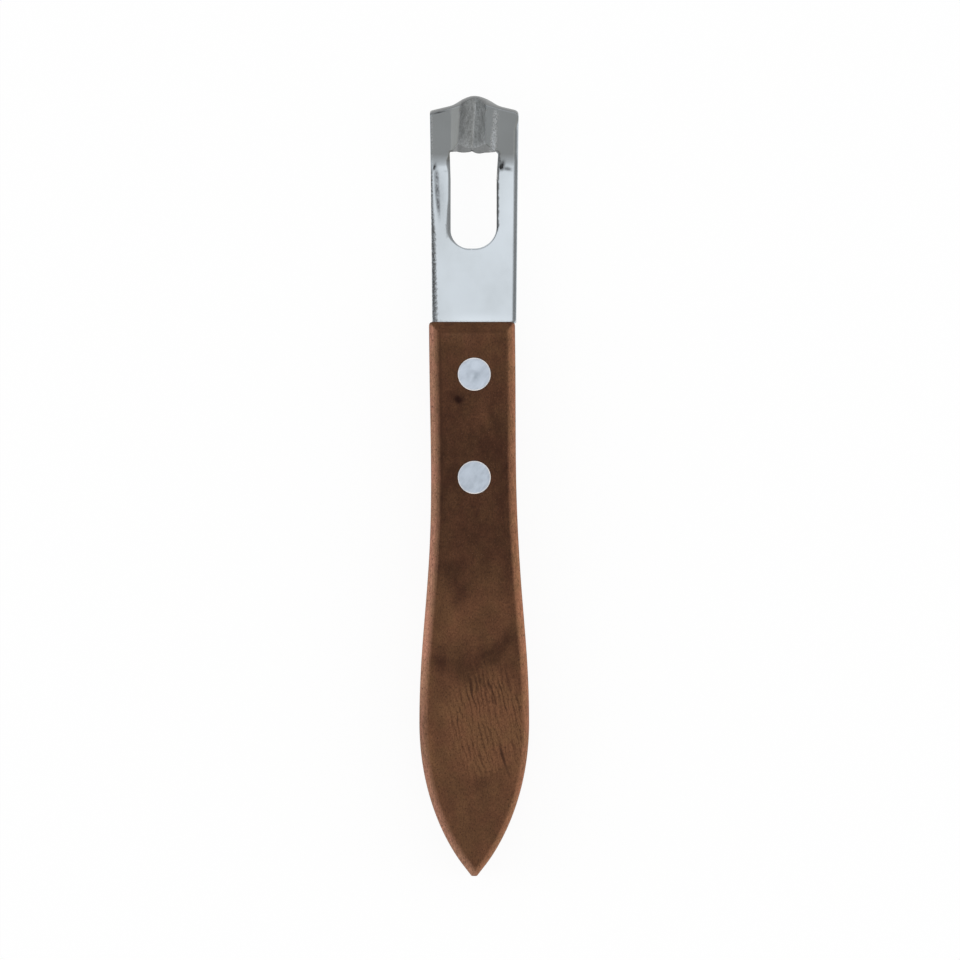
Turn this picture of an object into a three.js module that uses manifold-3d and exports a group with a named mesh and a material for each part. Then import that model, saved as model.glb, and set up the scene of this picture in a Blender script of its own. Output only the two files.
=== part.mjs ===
// Channel knife: a steel strip with a pressed V cutter, riveted into the kerf of a one-piece wooden handle.
// Units are millimetres. +Y points from the butt to the cutter, and +Z is the face that the user sees.
// The origin is on the plane of the handle's back face, under the middle of the knife's length.

import * as THREE from "three";
import { mergeVertices } from "three/addons/utils/BufferGeometryUtils.js";
import Module from "manifold-3d";

// Handle. Places along it are distances from its blade end towards the butt.
const handleLength = 106.5;
const handleThickness = 12;
const neckWidth = 16.55;
const neckStraight = 6;
const waistWidth = 16.35;
const waistAt = 27;
const bellyWidth = 21.1;
const bellyAt = 77;
const buttWidth = 1;
const buttHalfAngle = 38; // degrees between the centre line and each side at the butt
const edgeRound = 1.8;

// Reach of the handle's curves, as shares of the stretch that each curve spans.
const neckReach = 0.35;
const waistReach = 0.49;
const bellyReachToWaist = 0.35;
const bellyReachToButt = 0.46;
const buttReach = 0.17;
const buttEdgeRoom = 1.5; // straight run at the butt, in lengths that the rounded edges need to meet there

// Steel strip. Places along it are distances from the handle's blade end towards the cutter.
const steelThickness = 1.5;
const bladeReach = 43.5;
const rootWidth = 16.2;
const tipWidth = 17.15;
const tangLength = 38;
const tangCorner = 1.2;
const bendAt = 29;
const bendRadius = 8.5; // to the middle of the sheet
const bendAngle = 25; // degrees that the cutter's plate leans towards the user

// Window that the peel passes through, from its round end to the cutting edge.
const windowWidth = 8.85;
const windowStart = 14.2;
const windowCorner = 4;
const edgePastBend = 0.22;
const bevelAngle = 38; // degrees between the ground bevel and the back of the plate
const edgeLand = 0.1;

// Groove pressed into the cutter's plate: a sloping lead-in on each side, then the V itself.
const grooveWidth = 5;
const grooveDepth = 2.8;
const leadInDepth = 0.35;
const bellHeight = 2.6; // of the swelling that the groove raises on the back

// Fullness of the groove's curves, as shares of their half width and of their depth.
const wallAcross = 0.55;
const wallDown = 0.62;
const bellAcross = 0.6;

// End of the plate: two straight slopes that meet in a rounded point.
const endRise = 2.2;
const endPointRound = 1.3;
const endCorner = 0.9;

// Two-piece compression rivets.
const frontRivetFromNeck = 10.1;
const rearRivetFromTangEnd = 8.1;
const rivetHeadDiameter = 6.35;
const rivetHeadHeight = 1.2;
const rivetTubeDiameter = 4.6;
const rivetPinDiameter = 3.2;
const rivetEndGap = 0.8; // between the end of each shank and what it points at

// Fits.
const kerfClearance = 0.1;
const kerfEndClearance = 0.5;
const rivetClearance = 0.05;
const sawRadius = 60;

// Smoothness of the facets.
const curveSteps = 20;
const grooveSteps = 8;
const roundSteps = 40;
const edgeSteps = 3;

const shoulderY = (handleLength - bladeReach) / 2;
const middleZ = handleThickness / 2;
const halfSteel = steelThickness / 2;
const halfWindow = windowWidth / 2;
const tilt = THREE.MathUtils.degToRad(bendAngle);
const grind = THREE.MathUtils.degToRad(bendAngle + bevelAngle);
const beyond = handleLength; // how far the cutting bodies run past what they cut
const rivetPlaces = { front: -frontRivetFromNeck, rear: -tangLength + rearRivetFromTangEnd };

const AXIS_X = new THREE.Vector3(1, 0, 0);
const AXIS_Y = new THREE.Vector3(0, 1, 0);
const AXIS_Z = new THREE.Vector3(0, 0, 1);

// Middle of the sheet where the bend ends and the flat plate of the cutter starts.
const bendEnd = new THREE.Vector3(
  0,
  bendAt + bendRadius * Math.sin(tilt),
  middleZ + bendRadius * (1 - Math.cos(tilt)),
);

const cuttingEdgeY = bendEnd.y + edgePastBend;

const wasm = await Module();
wasm.setup();

// A closed three.js geometry as a solid that can be joined and cut.
function solidOf(geometry) {
  const bare = geometry.clone();
  bare.deleteAttribute("normal");
  bare.deleteAttribute("uv");
  const merged = mergeVertices(bare);
  return new wasm.Manifold(
    new wasm.Mesh({
      numProp: 3,
      vertProperties: merged.attributes.position.array,
      triVerts: new Uint32Array(merged.index.array),
    }),
  );
}

// A solid as a three.js geometry again.
function geometryOf(solid) {
  const mesh = solid.getMesh();
  const geometry = new THREE.BufferGeometry();
  geometry.setAttribute("position", new THREE.BufferAttribute(mesh.vertProperties, 3));
  geometry.setIndex(new THREE.BufferAttribute(mesh.triVerts, 1));
  geometry.computeVertexNormals();
  return geometry;
}

// A shape drawn in X and Y, pushed along Z from start to end.
function extruded(shape, start, end, curveSegments = curveSteps) {
  const geometry = new THREE.ExtrudeGeometry(shape, {
    depth: end - start,
    bevelEnabled: false,
    curveSegments,
  });
  return geometry.translate(0, 0, start);
}

// Turns a geometry so that its own X, Y and Z lie along the three directions given, at a place.
function laid(geometry, x, y, z, place = new THREE.Vector3()) {
  return geometry.applyMatrix4(new THREE.Matrix4().makeBasis(x, y, z).setPosition(place));
}

// The direction along a plate that leans by an angle, and the direction out of its front.
function leaning(angle) {
  const along = new THREE.Vector3(0, Math.cos(angle), Math.sin(angle));
  const out = new THREE.Vector3(0, -Math.sin(angle), Math.cos(angle));
  return { along, out };
}

// Lays a section, drawn with X across and Y out of the sheet, so that it runs along a leaning plate.
function alongPlate(geometry, angle, place) {
  const { along, out } = leaning(angle);
  return laid(geometry, AXIS_X.clone().negate(), out, along, place);
}

function cylinder(diameter, fromZ, toZ, y) {
  const geometry = new THREE.CylinderGeometry(diameter / 2, diameter / 2, toZ - fromZ, roundSteps);
  return geometry.rotateX(Math.PI / 2).translate(0, y, (fromZ + toZ) / 2);
}

// Handle

// One half of the outline is drawn from the neck to the butt, and the other half is its mirror image.
function handleOutline() {
  const neck = neckWidth / 2;
  const waist = waistWidth / 2;
  const belly = bellyWidth / 2;
  const halfAngle = THREE.MathUtils.degToRad(buttHalfAngle);
  const point = -handleLength - buttWidth / 2 / Math.tan(halfAngle);
  const buttStraight = (buttEdgeRoom * edgeRound) / Math.tan(halfAngle);
  const onButtSide = (distance) => [-distance * Math.sin(halfAngle), point + distance * Math.cos(halfAngle)];
  const toWaist = waistAt - neckStraight;
  const toBelly = bellyAt - waistAt;
  const toButt = -point - bellyAt;

  const half = new THREE.Path();
  half.moveTo(-neck, 0);
  half.lineTo(-neck, -neckStraight);
  half.bezierCurveTo(
    ...[-neck, -neckStraight - neckReach * toWaist],
    ...[-waist, -waistAt + neckReach * toWaist],
    ...[-waist, -waistAt],
  );
  half.bezierCurveTo(
    ...[-waist, -waistAt - waistReach * toBelly],
    ...[-belly, -bellyAt + bellyReachToWaist * toBelly],
    ...[-belly, -bellyAt],
  );
  half.bezierCurveTo(
    ...[-belly, -bellyAt - bellyReachToButt * toButt],
    ...onButtSide(buttStraight + buttReach * toButt),
    ...onButtSide(buttStraight),
  );
  half.lineTo(0, point);

  const left = half.getPoints(curveSteps);
  const right = left.slice(0, -1).reverse();
  return new THREE.Shape([...left, ...right.map((place) => new THREE.Vector2(-place.x, place.y))]);
}

// The saw cut that takes the tang. It is open at the neck and on both sides, and its end is the saw's arc.
function kerf() {
  const sawCentreY = Math.sqrt(sawRadius ** 2 - (rootWidth / 2) ** 2) - tangLength - kerfEndClearance;
  const half = bellyWidth;
  const down = -Math.PI / 2;
  const swing = Math.asin(half / sawRadius);
  const halfGap = halfSteel + kerfClearance;
  const plan = new THREE.Shape();
  plan.moveTo(half, beyond);
  plan.lineTo(-half, beyond);
  plan.absarc(0, sawCentreY, sawRadius, down - swing, down + swing, false);
  return extruded(plan, middleZ - halfGap, middleZ + halfGap);
}

function woodenHandle() {
  const rounded = new THREE.ExtrudeGeometry(handleOutline(), {
    depth: handleThickness - 2 * edgeRound,
    bevelThickness: edgeRound,
    bevelSize: edgeRound,
    bevelOffset: -edgeRound,
    bevelSegments: edgeSteps,
    curveSegments: curveSteps,
  });
  rounded.translate(0, 0, edgeRound);

  const tipWaste = new THREE.BoxGeometry(beyond, beyond, beyond);
  tipWaste.translate(0, -handleLength - beyond / 2, middleZ);

  let handle = solidOf(rounded).subtract(solidOf(tipWaste)).subtract(solidOf(kerf()));
  const headBore = rivetHeadDiameter + 2 * rivetClearance;
  const shankBore = rivetTubeDiameter + 2 * rivetClearance;
  const seat = rivetHeadHeight + rivetClearance;
  for (const y of Object.values(rivetPlaces)) {
    handle = handle
      .subtract(solidOf(cylinder(shankBore, -beyond, beyond, y)))
      .subtract(solidOf(cylinder(headBore, -beyond, seat, y)))
      .subtract(solidOf(cylinder(headBore, handleThickness - seat, beyond, y)));
  }
  return geometryOf(handle);
}

// Steel strip

// The strip seen from the side, drawn with Y across the page and Z up it: tang, flat, bend and plate.
function stripSide() {
  const { along, out } = leaning(tilt);
  const plateEnd = bendEnd.clone().addScaledVector(along, bladeReach);
  const bendCentreZ = middleZ + bendRadius;
  const down = -Math.PI / 2;
  const side = new THREE.Shape();
  side.moveTo(-tangLength, middleZ + halfSteel);
  side.lineTo(-tangLength, middleZ - halfSteel);
  side.absarc(bendAt, bendCentreZ, bendRadius + halfSteel, down, down + tilt, false);
  side.lineTo(plateEnd.y - halfSteel * out.y, plateEnd.z - halfSteel * out.z);
  side.lineTo(plateEnd.y + halfSteel * out.y, plateEnd.z + halfSteel * out.z);
  side.absarc(bendAt, bendCentreZ, bendRadius - halfSteel, down + tilt, down, true);
  return side;
}

// The strip seen from the front: it widens a little from the tang to the cutter, and has the rivet holes.
function stripPlan() {
  const flare = (tipWidth - rootWidth) / 2 / bladeReach;
  const tip = rootWidth / 2 + flare * beyond;
  const root = rootWidth / 2;
  const plan = new THREE.Shape();
  plan.moveTo(root, 0);
  plan.lineTo(tip, beyond);
  plan.lineTo(-tip, beyond);
  plan.lineTo(-root, 0);
  plan.lineTo(-root, -tangLength + tangCorner);
  plan.quadraticCurveTo(-root, -tangLength, -root + tangCorner, -tangLength);
  plan.lineTo(root - tangCorner, -tangLength);
  plan.quadraticCurveTo(root, -tangLength, root, -tangLength + tangCorner);
  const hole = rivetTubeDiameter / 2 + rivetClearance;
  for (const y of Object.values(rivetPlaces)) {
    plan.holes.push(new THREE.Path().absarc(0, y, hole, 0, 2 * Math.PI, true));
  }
  return plan;
}

// The slot between the two legs, from the window's round end out through the end of the strip.
function slotPlan() {
  const cornerX = halfWindow - windowCorner;
  const cornerY = windowStart + windowCorner;
  const down = 1.5 * Math.PI;
  const plan = new THREE.Shape();
  plan.moveTo(halfWindow, beyond);
  plan.lineTo(-halfWindow, beyond);
  plan.absarc(-cornerX, cornerY, windowCorner, Math.PI, down, false);
  plan.absarc(cornerX, cornerY, windowCorner, down, 2 * Math.PI, false);
  return plan;
}

// Draws the bell on the plate's back from right to left, with its height scaled.
function drawBell(section, base, height) {
  const flank = bellAcross * halfWindow;
  section.bezierCurveTo(flank, base, flank, base - height, 0, base - height);
  section.bezierCurveTo(-flank, base - height, -flank, base, -halfWindow, base);
}

// Section of the grooved tongue between the legs: groove on the front, bell on the back.
function tongueSection() {
  const mouth = grooveWidth / 2;
  const lip = halfSteel - leadInDepth;
  const bottom = halfSteel - grooveDepth;
  const wallX = wallAcross * mouth;
  const wallY = lip - wallDown * (lip - bottom);
  const section = new THREE.Shape();
  section.moveTo(-halfWindow, halfSteel);
  section.lineTo(-mouth, lip);
  section.quadraticCurveTo(-wallX, wallY, 0, bottom);
  section.quadraticCurveTo(wallX, wallY, mouth, lip);
  section.lineTo(halfWindow, halfSteel);
  section.lineTo(halfWindow, -halfSteel);
  drawBell(section, -halfSteel, bellHeight);
  return section;
}

// What the grinding wheel takes off the front of the cutting edge. It follows the bell on the back,
// so the edge is as thin in the groove as beside it.
function bevelWaste() {
  const { along, out } = leaning(tilt);
  const reach = (cuttingEdgeY - bendEnd.y + halfSteel * out.y) / along.y;
  const edge = bendEnd.clone().addScaledVector(along, reach).addScaledVector(out, -halfSteel);
  const wheel = new THREE.Shape();
  wheel.moveTo(halfWindow, beyond);
  wheel.lineTo(halfWindow, edgeLand);
  drawBell(wheel, edgeLand, (bellHeight * Math.cos(grind)) / Math.cos(tilt));
  wheel.lineTo(-halfWindow, beyond);
  return alongPlate(extruded(wheel, -beyond, beyond, grooveSteps), grind, edge);
}

function tongue() {
  const grooved = alongPlate(extruded(tongueSection(), -bladeReach, bladeReach, grooveSteps), tilt, bendEnd);
  const below = new THREE.BoxGeometry(beyond, beyond, beyond);
  below.translate(0, cuttingEdgeY - beyond / 2, middleZ);
  return solidOf(grooved).subtract(solidOf(below)).subtract(solidOf(bevelWaste()));
}

// What is cut away past the end of the plate, square to the plate.
function endWaste() {
  const { along, out } = leaning(tilt);
  const crown = (bladeReach - bendEnd.y + (halfSteel + bellHeight) * out.y) / along.y;
  const half = tipWidth / 2;
  const slope = endRise / half;
  const point = crown + (slope * endPointRound) / 2;
  const corner = point - endRise;
  const waste = new THREE.Shape();
  waste.moveTo(-beyond, corner - endCorner);
  waste.lineTo(-half, corner - endCorner);
  waste.quadraticCurveTo(-half, corner, -half + endCorner, corner + slope * endCorner);
  waste.lineTo(-endPointRound, point - slope * endPointRound);
  waste.quadraticCurveTo(0, point, endPointRound, point - slope * endPointRound);
  waste.lineTo(half - endCorner, corner + slope * endCorner);
  waste.quadraticCurveTo(half, corner, half, corner - endCorner);
  waste.lineTo(beyond, corner - endCorner);
  waste.lineTo(beyond, beyond);
  waste.lineTo(-beyond, beyond);
  return laid(extruded(waste, -beyond, beyond, grooveSteps), AXIS_X, along, out, bendEnd);
}

function channelBlade() {
  const strip = laid(extruded(stripSide(), -tipWidth, tipWidth), AXIS_Y, AXIS_Z, AXIS_X);
  const legs = solidOf(strip).subtract(solidOf(extruded(slotPlan(), -beyond, beyond)));
  const blade = legs
    .add(tongue())
    .intersect(solidOf(extruded(stripPlan(), -beyond, beyond)))
    .subtract(solidOf(endWaste()));
  return geometryOf(blade);
}

// Rivets

// A round piece from its outline, given as radius and height, standing along Z.
function turned(outline) {
  const points = outline.map(([radius, height]) => new THREE.Vector2(radius, height));
  return new THREE.LatheGeometry(points, roundSteps).rotateX(Math.PI / 2);
}

// Half with the tube: its head lies in the back of the handle.
function rivetTube() {
  const head = rivetHeadDiameter / 2;
  const tube = rivetTubeDiameter / 2;
  const bore = rivetPinDiameter / 2 + rivetClearance;
  const mouth = handleThickness - rivetHeadHeight - rivetEndGap;
  return turned([
    [0, 0],
    [head, 0],
    [head, rivetHeadHeight],
    [tube, rivetHeadHeight],
    [tube, mouth],
    [bore, mouth],
    [bore, rivetHeadHeight],
    [0, rivetHeadHeight],
  ]);
}

// Half with the pin: its head lies in the front of the handle, and its pin runs down the tube.
function rivetPin() {
  const head = rivetHeadDiameter / 2;
  const pin = rivetPinDiameter / 2;
  const seat = handleThickness - rivetHeadHeight;
  return turned([
    [0, rivetHeadHeight + rivetEndGap],
    [pin, rivetHeadHeight + rivetEndGap],
    [pin, seat],
    [head, seat],
    [head, handleThickness],
    [0, handleThickness],
  ]);
}

const walnut = new THREE.MeshStandardMaterial({ color: 0x54392a, roughness: 0.55, metalness: 0 });
const steel = new THREE.MeshStandardMaterial({ color: 0xccd3d8, roughness: 0.25, metalness: 1 });
const aluminium = new THREE.MeshStandardMaterial({ color: 0xb6c0cb, roughness: 0.4, metalness: 1 });

function part(name, geometry, material, y = 0) {
  const mesh = new THREE.Mesh(geometry, material);
  mesh.name = name;
  mesh.position.y = y;
  return mesh;
}

// Everything is built from the handle's blade end, and the whole is then moved to its middle.
const assembly = new THREE.Group();
assembly.position.y = shoulderY;
assembly.add(part("wooden_handle", woodenHandle(), walnut));
assembly.add(part("channel_blade", channelBlade(), steel));
for (const [place, y] of Object.entries(rivetPlaces)) {
  assembly.add(part(`${place}_rivet_tube`, rivetTube(), aluminium, y));
  assembly.add(part(`${place}_rivet_pin`, rivetPin(), aluminium, y));
}

const knife = new THREE.Group();
knife.add(assembly);

export default knife;
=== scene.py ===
"""Channel knife: a wooden handle, a pressed steel blade and two flush rivets, dressed around the solids.

The knife lies on its back, with the cutter towards +Y and the face that the user sees towards +Z.
"""

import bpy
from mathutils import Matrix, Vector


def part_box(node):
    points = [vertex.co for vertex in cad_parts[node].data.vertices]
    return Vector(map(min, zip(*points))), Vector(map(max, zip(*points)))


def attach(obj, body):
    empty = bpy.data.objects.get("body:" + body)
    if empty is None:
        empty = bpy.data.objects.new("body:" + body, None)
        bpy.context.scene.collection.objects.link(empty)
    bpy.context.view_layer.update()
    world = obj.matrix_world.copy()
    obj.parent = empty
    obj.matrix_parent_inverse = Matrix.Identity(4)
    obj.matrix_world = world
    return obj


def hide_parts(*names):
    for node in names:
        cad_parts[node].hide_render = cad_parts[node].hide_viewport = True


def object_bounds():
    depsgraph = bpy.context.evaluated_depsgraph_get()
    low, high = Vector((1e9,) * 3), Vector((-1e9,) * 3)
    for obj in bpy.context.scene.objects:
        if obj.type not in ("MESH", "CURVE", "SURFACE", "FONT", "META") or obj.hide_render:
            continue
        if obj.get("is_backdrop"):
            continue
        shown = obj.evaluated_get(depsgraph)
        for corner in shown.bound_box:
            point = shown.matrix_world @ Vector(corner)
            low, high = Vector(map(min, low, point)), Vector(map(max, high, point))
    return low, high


bl_info = {
    "name": "Channel Knife",
    "version": (1, 0, 0),
    "blender": (4, 5, 0),
    "location": "View3D > Sidebar > Channel Knife",
    "description": "Builds a channel knife's handle, blade and rivets and lights them on a white floor",
    "category": "Object",
}

import math

import bpy
import numpy as np
from bpy.props import FloatProperty, FloatVectorProperty, PointerProperty
from mathutils import Vector
from mathutils.geometry import delaunay_2d_cdt

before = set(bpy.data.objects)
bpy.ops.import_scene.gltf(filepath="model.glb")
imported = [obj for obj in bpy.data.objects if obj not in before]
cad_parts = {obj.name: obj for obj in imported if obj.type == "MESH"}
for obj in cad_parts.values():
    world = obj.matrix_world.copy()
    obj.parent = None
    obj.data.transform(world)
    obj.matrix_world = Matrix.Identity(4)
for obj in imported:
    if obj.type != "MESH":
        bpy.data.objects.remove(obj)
CAD_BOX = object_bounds()

MM = 0.001
BODY = "root"

HANDLE_LOW, HANDLE_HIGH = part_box("wooden_handle")
BLADE_LOW, BLADE_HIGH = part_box("channel_blade")
NECK_Y = HANDLE_HIGH.y
MIDDLE_Z = (HANDLE_LOW.z + HANDLE_HIGH.z) / 2
RIVET_ENDS = ("front", "rear")


def length(name, description, millimetres):
    """A length, given in millimetres."""
    return FloatProperty(
        name=name, description=description, default=millimetres * MM, unit="LENGTH", precision=5
    )


def share(name, description, default):
    """A share of something."""
    return FloatProperty(
        name=name, description=description, default=default, subtype="FACTOR", min=0, max=2
    )


def number(name, description, default):
    """A plain number, not below zero."""
    return FloatProperty(name=name, description=description, default=default, min=0)


def power(name, description, watts):
    """A lamp's power."""
    return FloatProperty(name=name, description=description, default=watts, unit="POWER", min=0)


def angle(name, description, degrees):
    """An angle, given in degrees."""
    return FloatProperty(
        name=name, description=description, default=math.radians(degrees), subtype="ANGLE", unit="ROTATION"
    )


def colour(name, description, red, green, blue):
    """A colour."""
    return FloatVectorProperty(
        name=name,
        description=description,
        default=(red, green, blue),
        subtype="COLOR",
        size=3,
        min=0,
        max=1,
    )


# Sizes and colours


class HandleSettings(bpy.types.PropertyGroup):
    """The one-piece wooden handle. Places along it are distances from its blade end."""

    neck_width: length("Neck width", "Width at the blade end", 16.55)
    neck_straight: length("Neck straight", "Straight run behind the blade end", 6)
    neck_corner: length("Neck corner", "Rounding of the two corners at the blade end", 0.7)
    waist_width: length("Waist width", "Width at the narrowest place", 16.35)
    waist_at: length("Waist place", "Distance of the narrowest place from the blade end", 27)
    belly_at: length("Belly place", "Distance of the widest place from the blade end", 77)
    butt_width: length("Butt width", "Width of the blunt point", 1)
    butt_angle: angle("Butt half angle", "Angle between the centre line and each side at the point", 38)
    butt_room: length("Butt room", "Half width at which the sides become straight towards the point", 2.7)
    neck_lean: angle("Neck lean", "How far the blade end leans to the left", 0.61)
    lean_start: length("Lean start", "Distance from the blade end at which that lean starts", 42)
    left_edge: length("Left edge", "Width of the worked edge along the left side", 1.85)
    right_edge: length("Right edge", "Width of the worked edge along the right side", 1.5)
    neck_edge: length("Neck edge", "Width of the worked edge across the blade end", 2.0)
    edge_depth: length("Edge depth", "How far the worked edge comes down from each face", 1.5)
    left_crest: share("Left crest", "Softness of the line between face and edge on the left", 0.12)
    right_crest: share("Right crest", "Softness of the line between face and edge on the right", 0.5)
    arris: length("Arris", "Rounding between the worked edge and the side", 0.45)
    kerf_gap: length("Kerf gap", "Height of the saw cut that takes the tang", 1.56)
    kerf_length: length("Kerf length", "Length of the saw cut at the handle's sides", 38.5)
    saw_radius: length("Saw radius", "Radius of the saw cut's end", 60)
    bore: length("Rivet bore", "Diameter of the holes that take the rivet heads", 6.45)
    dark_wood: colour("Dark wood", "Darkest places of the figure", 0.042, 0.016, 0.0083)
    light_wood: colour("Light wood", "Lightest places of the figure", 0.162, 0.0738, 0.0365)
    red_tint: colour("Red tint", "What the wood's redder areas are multiplied by", 1.0, 0.945, 0.92)
    olive_tint: colour("Olive tint", "What the wood's greener areas are multiplied by", 0.96, 0.985, 0.9)
    # The worked edges' colours are lighter than the faces partly as bare wood and partly as painted side
    # light and sheen.
    edge_light: colour("Light edge", "Bare wood where the worked edges are lightest", 0.44, 0.216, 0.15)
    edge_dark: colour("Dark edge", "Bare wood where the worked edges are darkest", 0.185, 0.0955, 0.061)
    right_tint: colour("Right tint", "What the bare edges on the right are multiplied by", 1.0, 0.92, 0.77)
    pore: colour("Pores", "Open pores of the grain", 0.034, 0.0135, 0.0075)
    knot: colour("Knot", "Core of the small knot", 0.018, 0.0045, 0.002)


class BladeSettings(bpy.types.PropertyGroup):
    """The steel strip. Places along it are distances from the handle's blade end."""

    thickness: length("Thickness", "Thickness of the sheet", 1.5)
    root_width: length("Root width", "Width at the handle", 16.2)
    tip_width: length("Tip width", "Width at the cutter", 17.15)
    tang_corner: length("Tang corner", "Rounding of the tang's corners", 1.2)
    tang_inset: length("Tang inset", "How far the tang's right side steps in behind the blade end", 0.4)
    hole: length("Rivet hole", "Diameter of the holes in the tang", 4.7)
    bend_at: length("Bend place", "Where the bend starts", 29.0)
    bend_radius: length("Bend radius", "Radius of the bend at the middle of the sheet", 8.5)
    bend_angle: angle("Bend angle", "How far the plate leans towards the user", 25)
    window_width: length("Window width", "Width of the window", 8.85)
    window_shift: length("Window shift", "How far the window lies to the right of the middle", -0.14)
    window_start: length("Window start", "Where the window's round end starts", 14.2)
    left_round: length("Left round", "Rounding of the window's end, left", 3.55)
    right_round: length("Right round", "Rounding of the window's end, right", 4.25)
    window_left_corner: length("Window left corner", "Rounding beside the edge, left", 0.28)
    window_right_corner: length("Window right corner", "Rounding beside the edge, right", 0.5)
    flare_at: length("Flare place", "Where the window starts to widen towards the cutting edge", 27.5)
    left_flare: length("Left flare", "How far the window widens on the left", 0.19)
    right_flare: length("Right flare", "How far the window widens on the right", 0.33)
    window_wall: length("Window wall", "Width of the window's broken edge on the right", 0.48)
    round_wall: length("Round wall", "Width of that edge along the window's round end", 0.22)
    wall_depth: length("Wall depth", "How far the window's broken edge comes down", 0.26)
    wall_slope: share("Wall slope", "Depth of its left edge, as a share of that edge's width", 0.32)
    edge_past_bend: length("Edge past bend", "Cutting edge beyond the end of the bend", 0.22)
    edge_lobe: length("Edge lobe", "How far the ground edge dips right of the groove's middle", 0.45)
    edge_step: share("Edge step", "Dips farther left and right, as a share of that one", 0.66)
    bevel_rise: length("Bevel rise", "Upper end of the ground bevel in the groove, past the bend", 1.05)
    bevel_peak: length("Bevel peak", "How much higher the bevel ends at the groove's mouth", 0.6)
    bevel_side: length("Bevel side", "Upper end of the bevel beside the window, past the bend", 0.35)
    bevel_angle: angle("Bevel angle", "Steepest angle of the bevel to the plate", 38)
    land: length("Edge land", "Thickness of the cutting edge", 0.08)
    groove_left: length("Groove left", "Width of the groove left of its line", 2.85)
    groove_right: length("Groove right", "Width of the groove right of its line, halfway along it", 2.25)
    groove_taper: share("Groove taper", "How much the right part narrows from the edge to the end", 0.24)
    groove_start: length("Groove start", "Where the groove's line starts, right of the middle", -0.42)
    groove_skew: length("Groove skew", "How far the groove's line moves to the right along it", 0.65)
    groove_depth: length("Groove depth", "Depth of the groove", 2.8)
    lead_in: length("Lead-in", "Depth of the slopes beside the groove", 0.35)
    bell_height: length("Bell height", "Height of the swelling on the back", 2.6)
    crease: length("Crease", "Softness of the groove's pressed lines", 0.1)
    wall_across: share("Wall across", "Fullness of the groove's walls across", 0.55)
    wall_down: share("Wall down", "Fullness of the groove's walls in depth", 0.62)
    bell_across: share("Bell across", "Fullness of the swelling", 0.64)
    bell_left: length("Bell left", "Width of the swelling left of the groove's line", 5.0)
    bell_right: length("Bell right", "Width of the swelling right of the groove's line", 5.3)
    end_rise: length("End rise", "Rise of the end from its corners to its point", 2.2)
    end_point: length("End point", "Rounding of the point", 5.16)
    end_reserve: length("End reserve", "What breaking the end's edges takes off its reach", 0.06)
    left_corner: length("Left corner", "Rounding of the end's left corner", 0.55)
    right_corner: length("Right corner", "Rounding of the end's right corner", 1.0)
    end_strip: length("End strip", "Width of the broken edge along the end", 0.08)
    right_strip: length("Right strip", "Width of the worked edge along the right side", 0.94)
    right_depth: length("Right depth", "How far the right edge comes down from the face", 0.52)
    end_depth: length("End depth", "How far the end's edge comes down from the face", 0.03)
    steel: colour("Steel", "Satin steel", 0.566, 0.617, 0.662)
    dull_steel: colour("Dull steel", "Steel where it is smudged", 0.529, 0.575, 0.613)
    cut_steel: colour("Cut steel", "Rough steel of the sheared edges", 0.22, 0.226, 0.23)
    # Darker than the steel partly as ground steel and partly as painted dark reflection.
    shaded_ground_steel: colour("Ground steel", "Bevel, end and window's walls", 0.205, 0.212, 0.212)
    pressed_steel: colour("Pressed steel", "Steel in the pressed groove", 0.61, 0.633, 0.645)
    # Colour of the scuffs and of the painted highlights along the groove's bottom and the plate's left
    # edge.
    scuff_and_highlight_steel: colour("Scuffed steel", "Steel where the press rubbed it bright", 0.86, 0.89, 0.92)
    # Colour of grime in the press marks and of painted shade in the groove towards its mouth.
    grime_and_shade: colour("Grime", "Dark film in the marks that the press left", 0.03, 0.03, 0.032)


class RivetSettings(bpy.types.PropertyGroup):
    """The two-piece compression rivets, sanded flush with the wood."""

    head_height: length("Head height", "Thickness of the heads", 1.2)
    pin: length("Pin", "Diameter of the pin", 3.2)
    tube: length("Tube", "Outer diameter of the tube", 4.6)
    tube_bore: length("Tube bore", "Inner diameter of the tube", 3.3)
    rim: length("Rim", "Rounding of the heads' rims", 0.05)
    metal: colour("Metal", "Sanded pale metal", 0.565, 0.63, 0.718)
    smeared: colour("Smeared metal", "Metal where the sanding smeared it", 0.36, 0.412, 0.475)
    # Colour of the painted highlight along the heads' rims.
    rim_highlight: colour("Burnished rim", "Metal along the heads' rims", 1.0, 0.92, 0.87)


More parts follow.
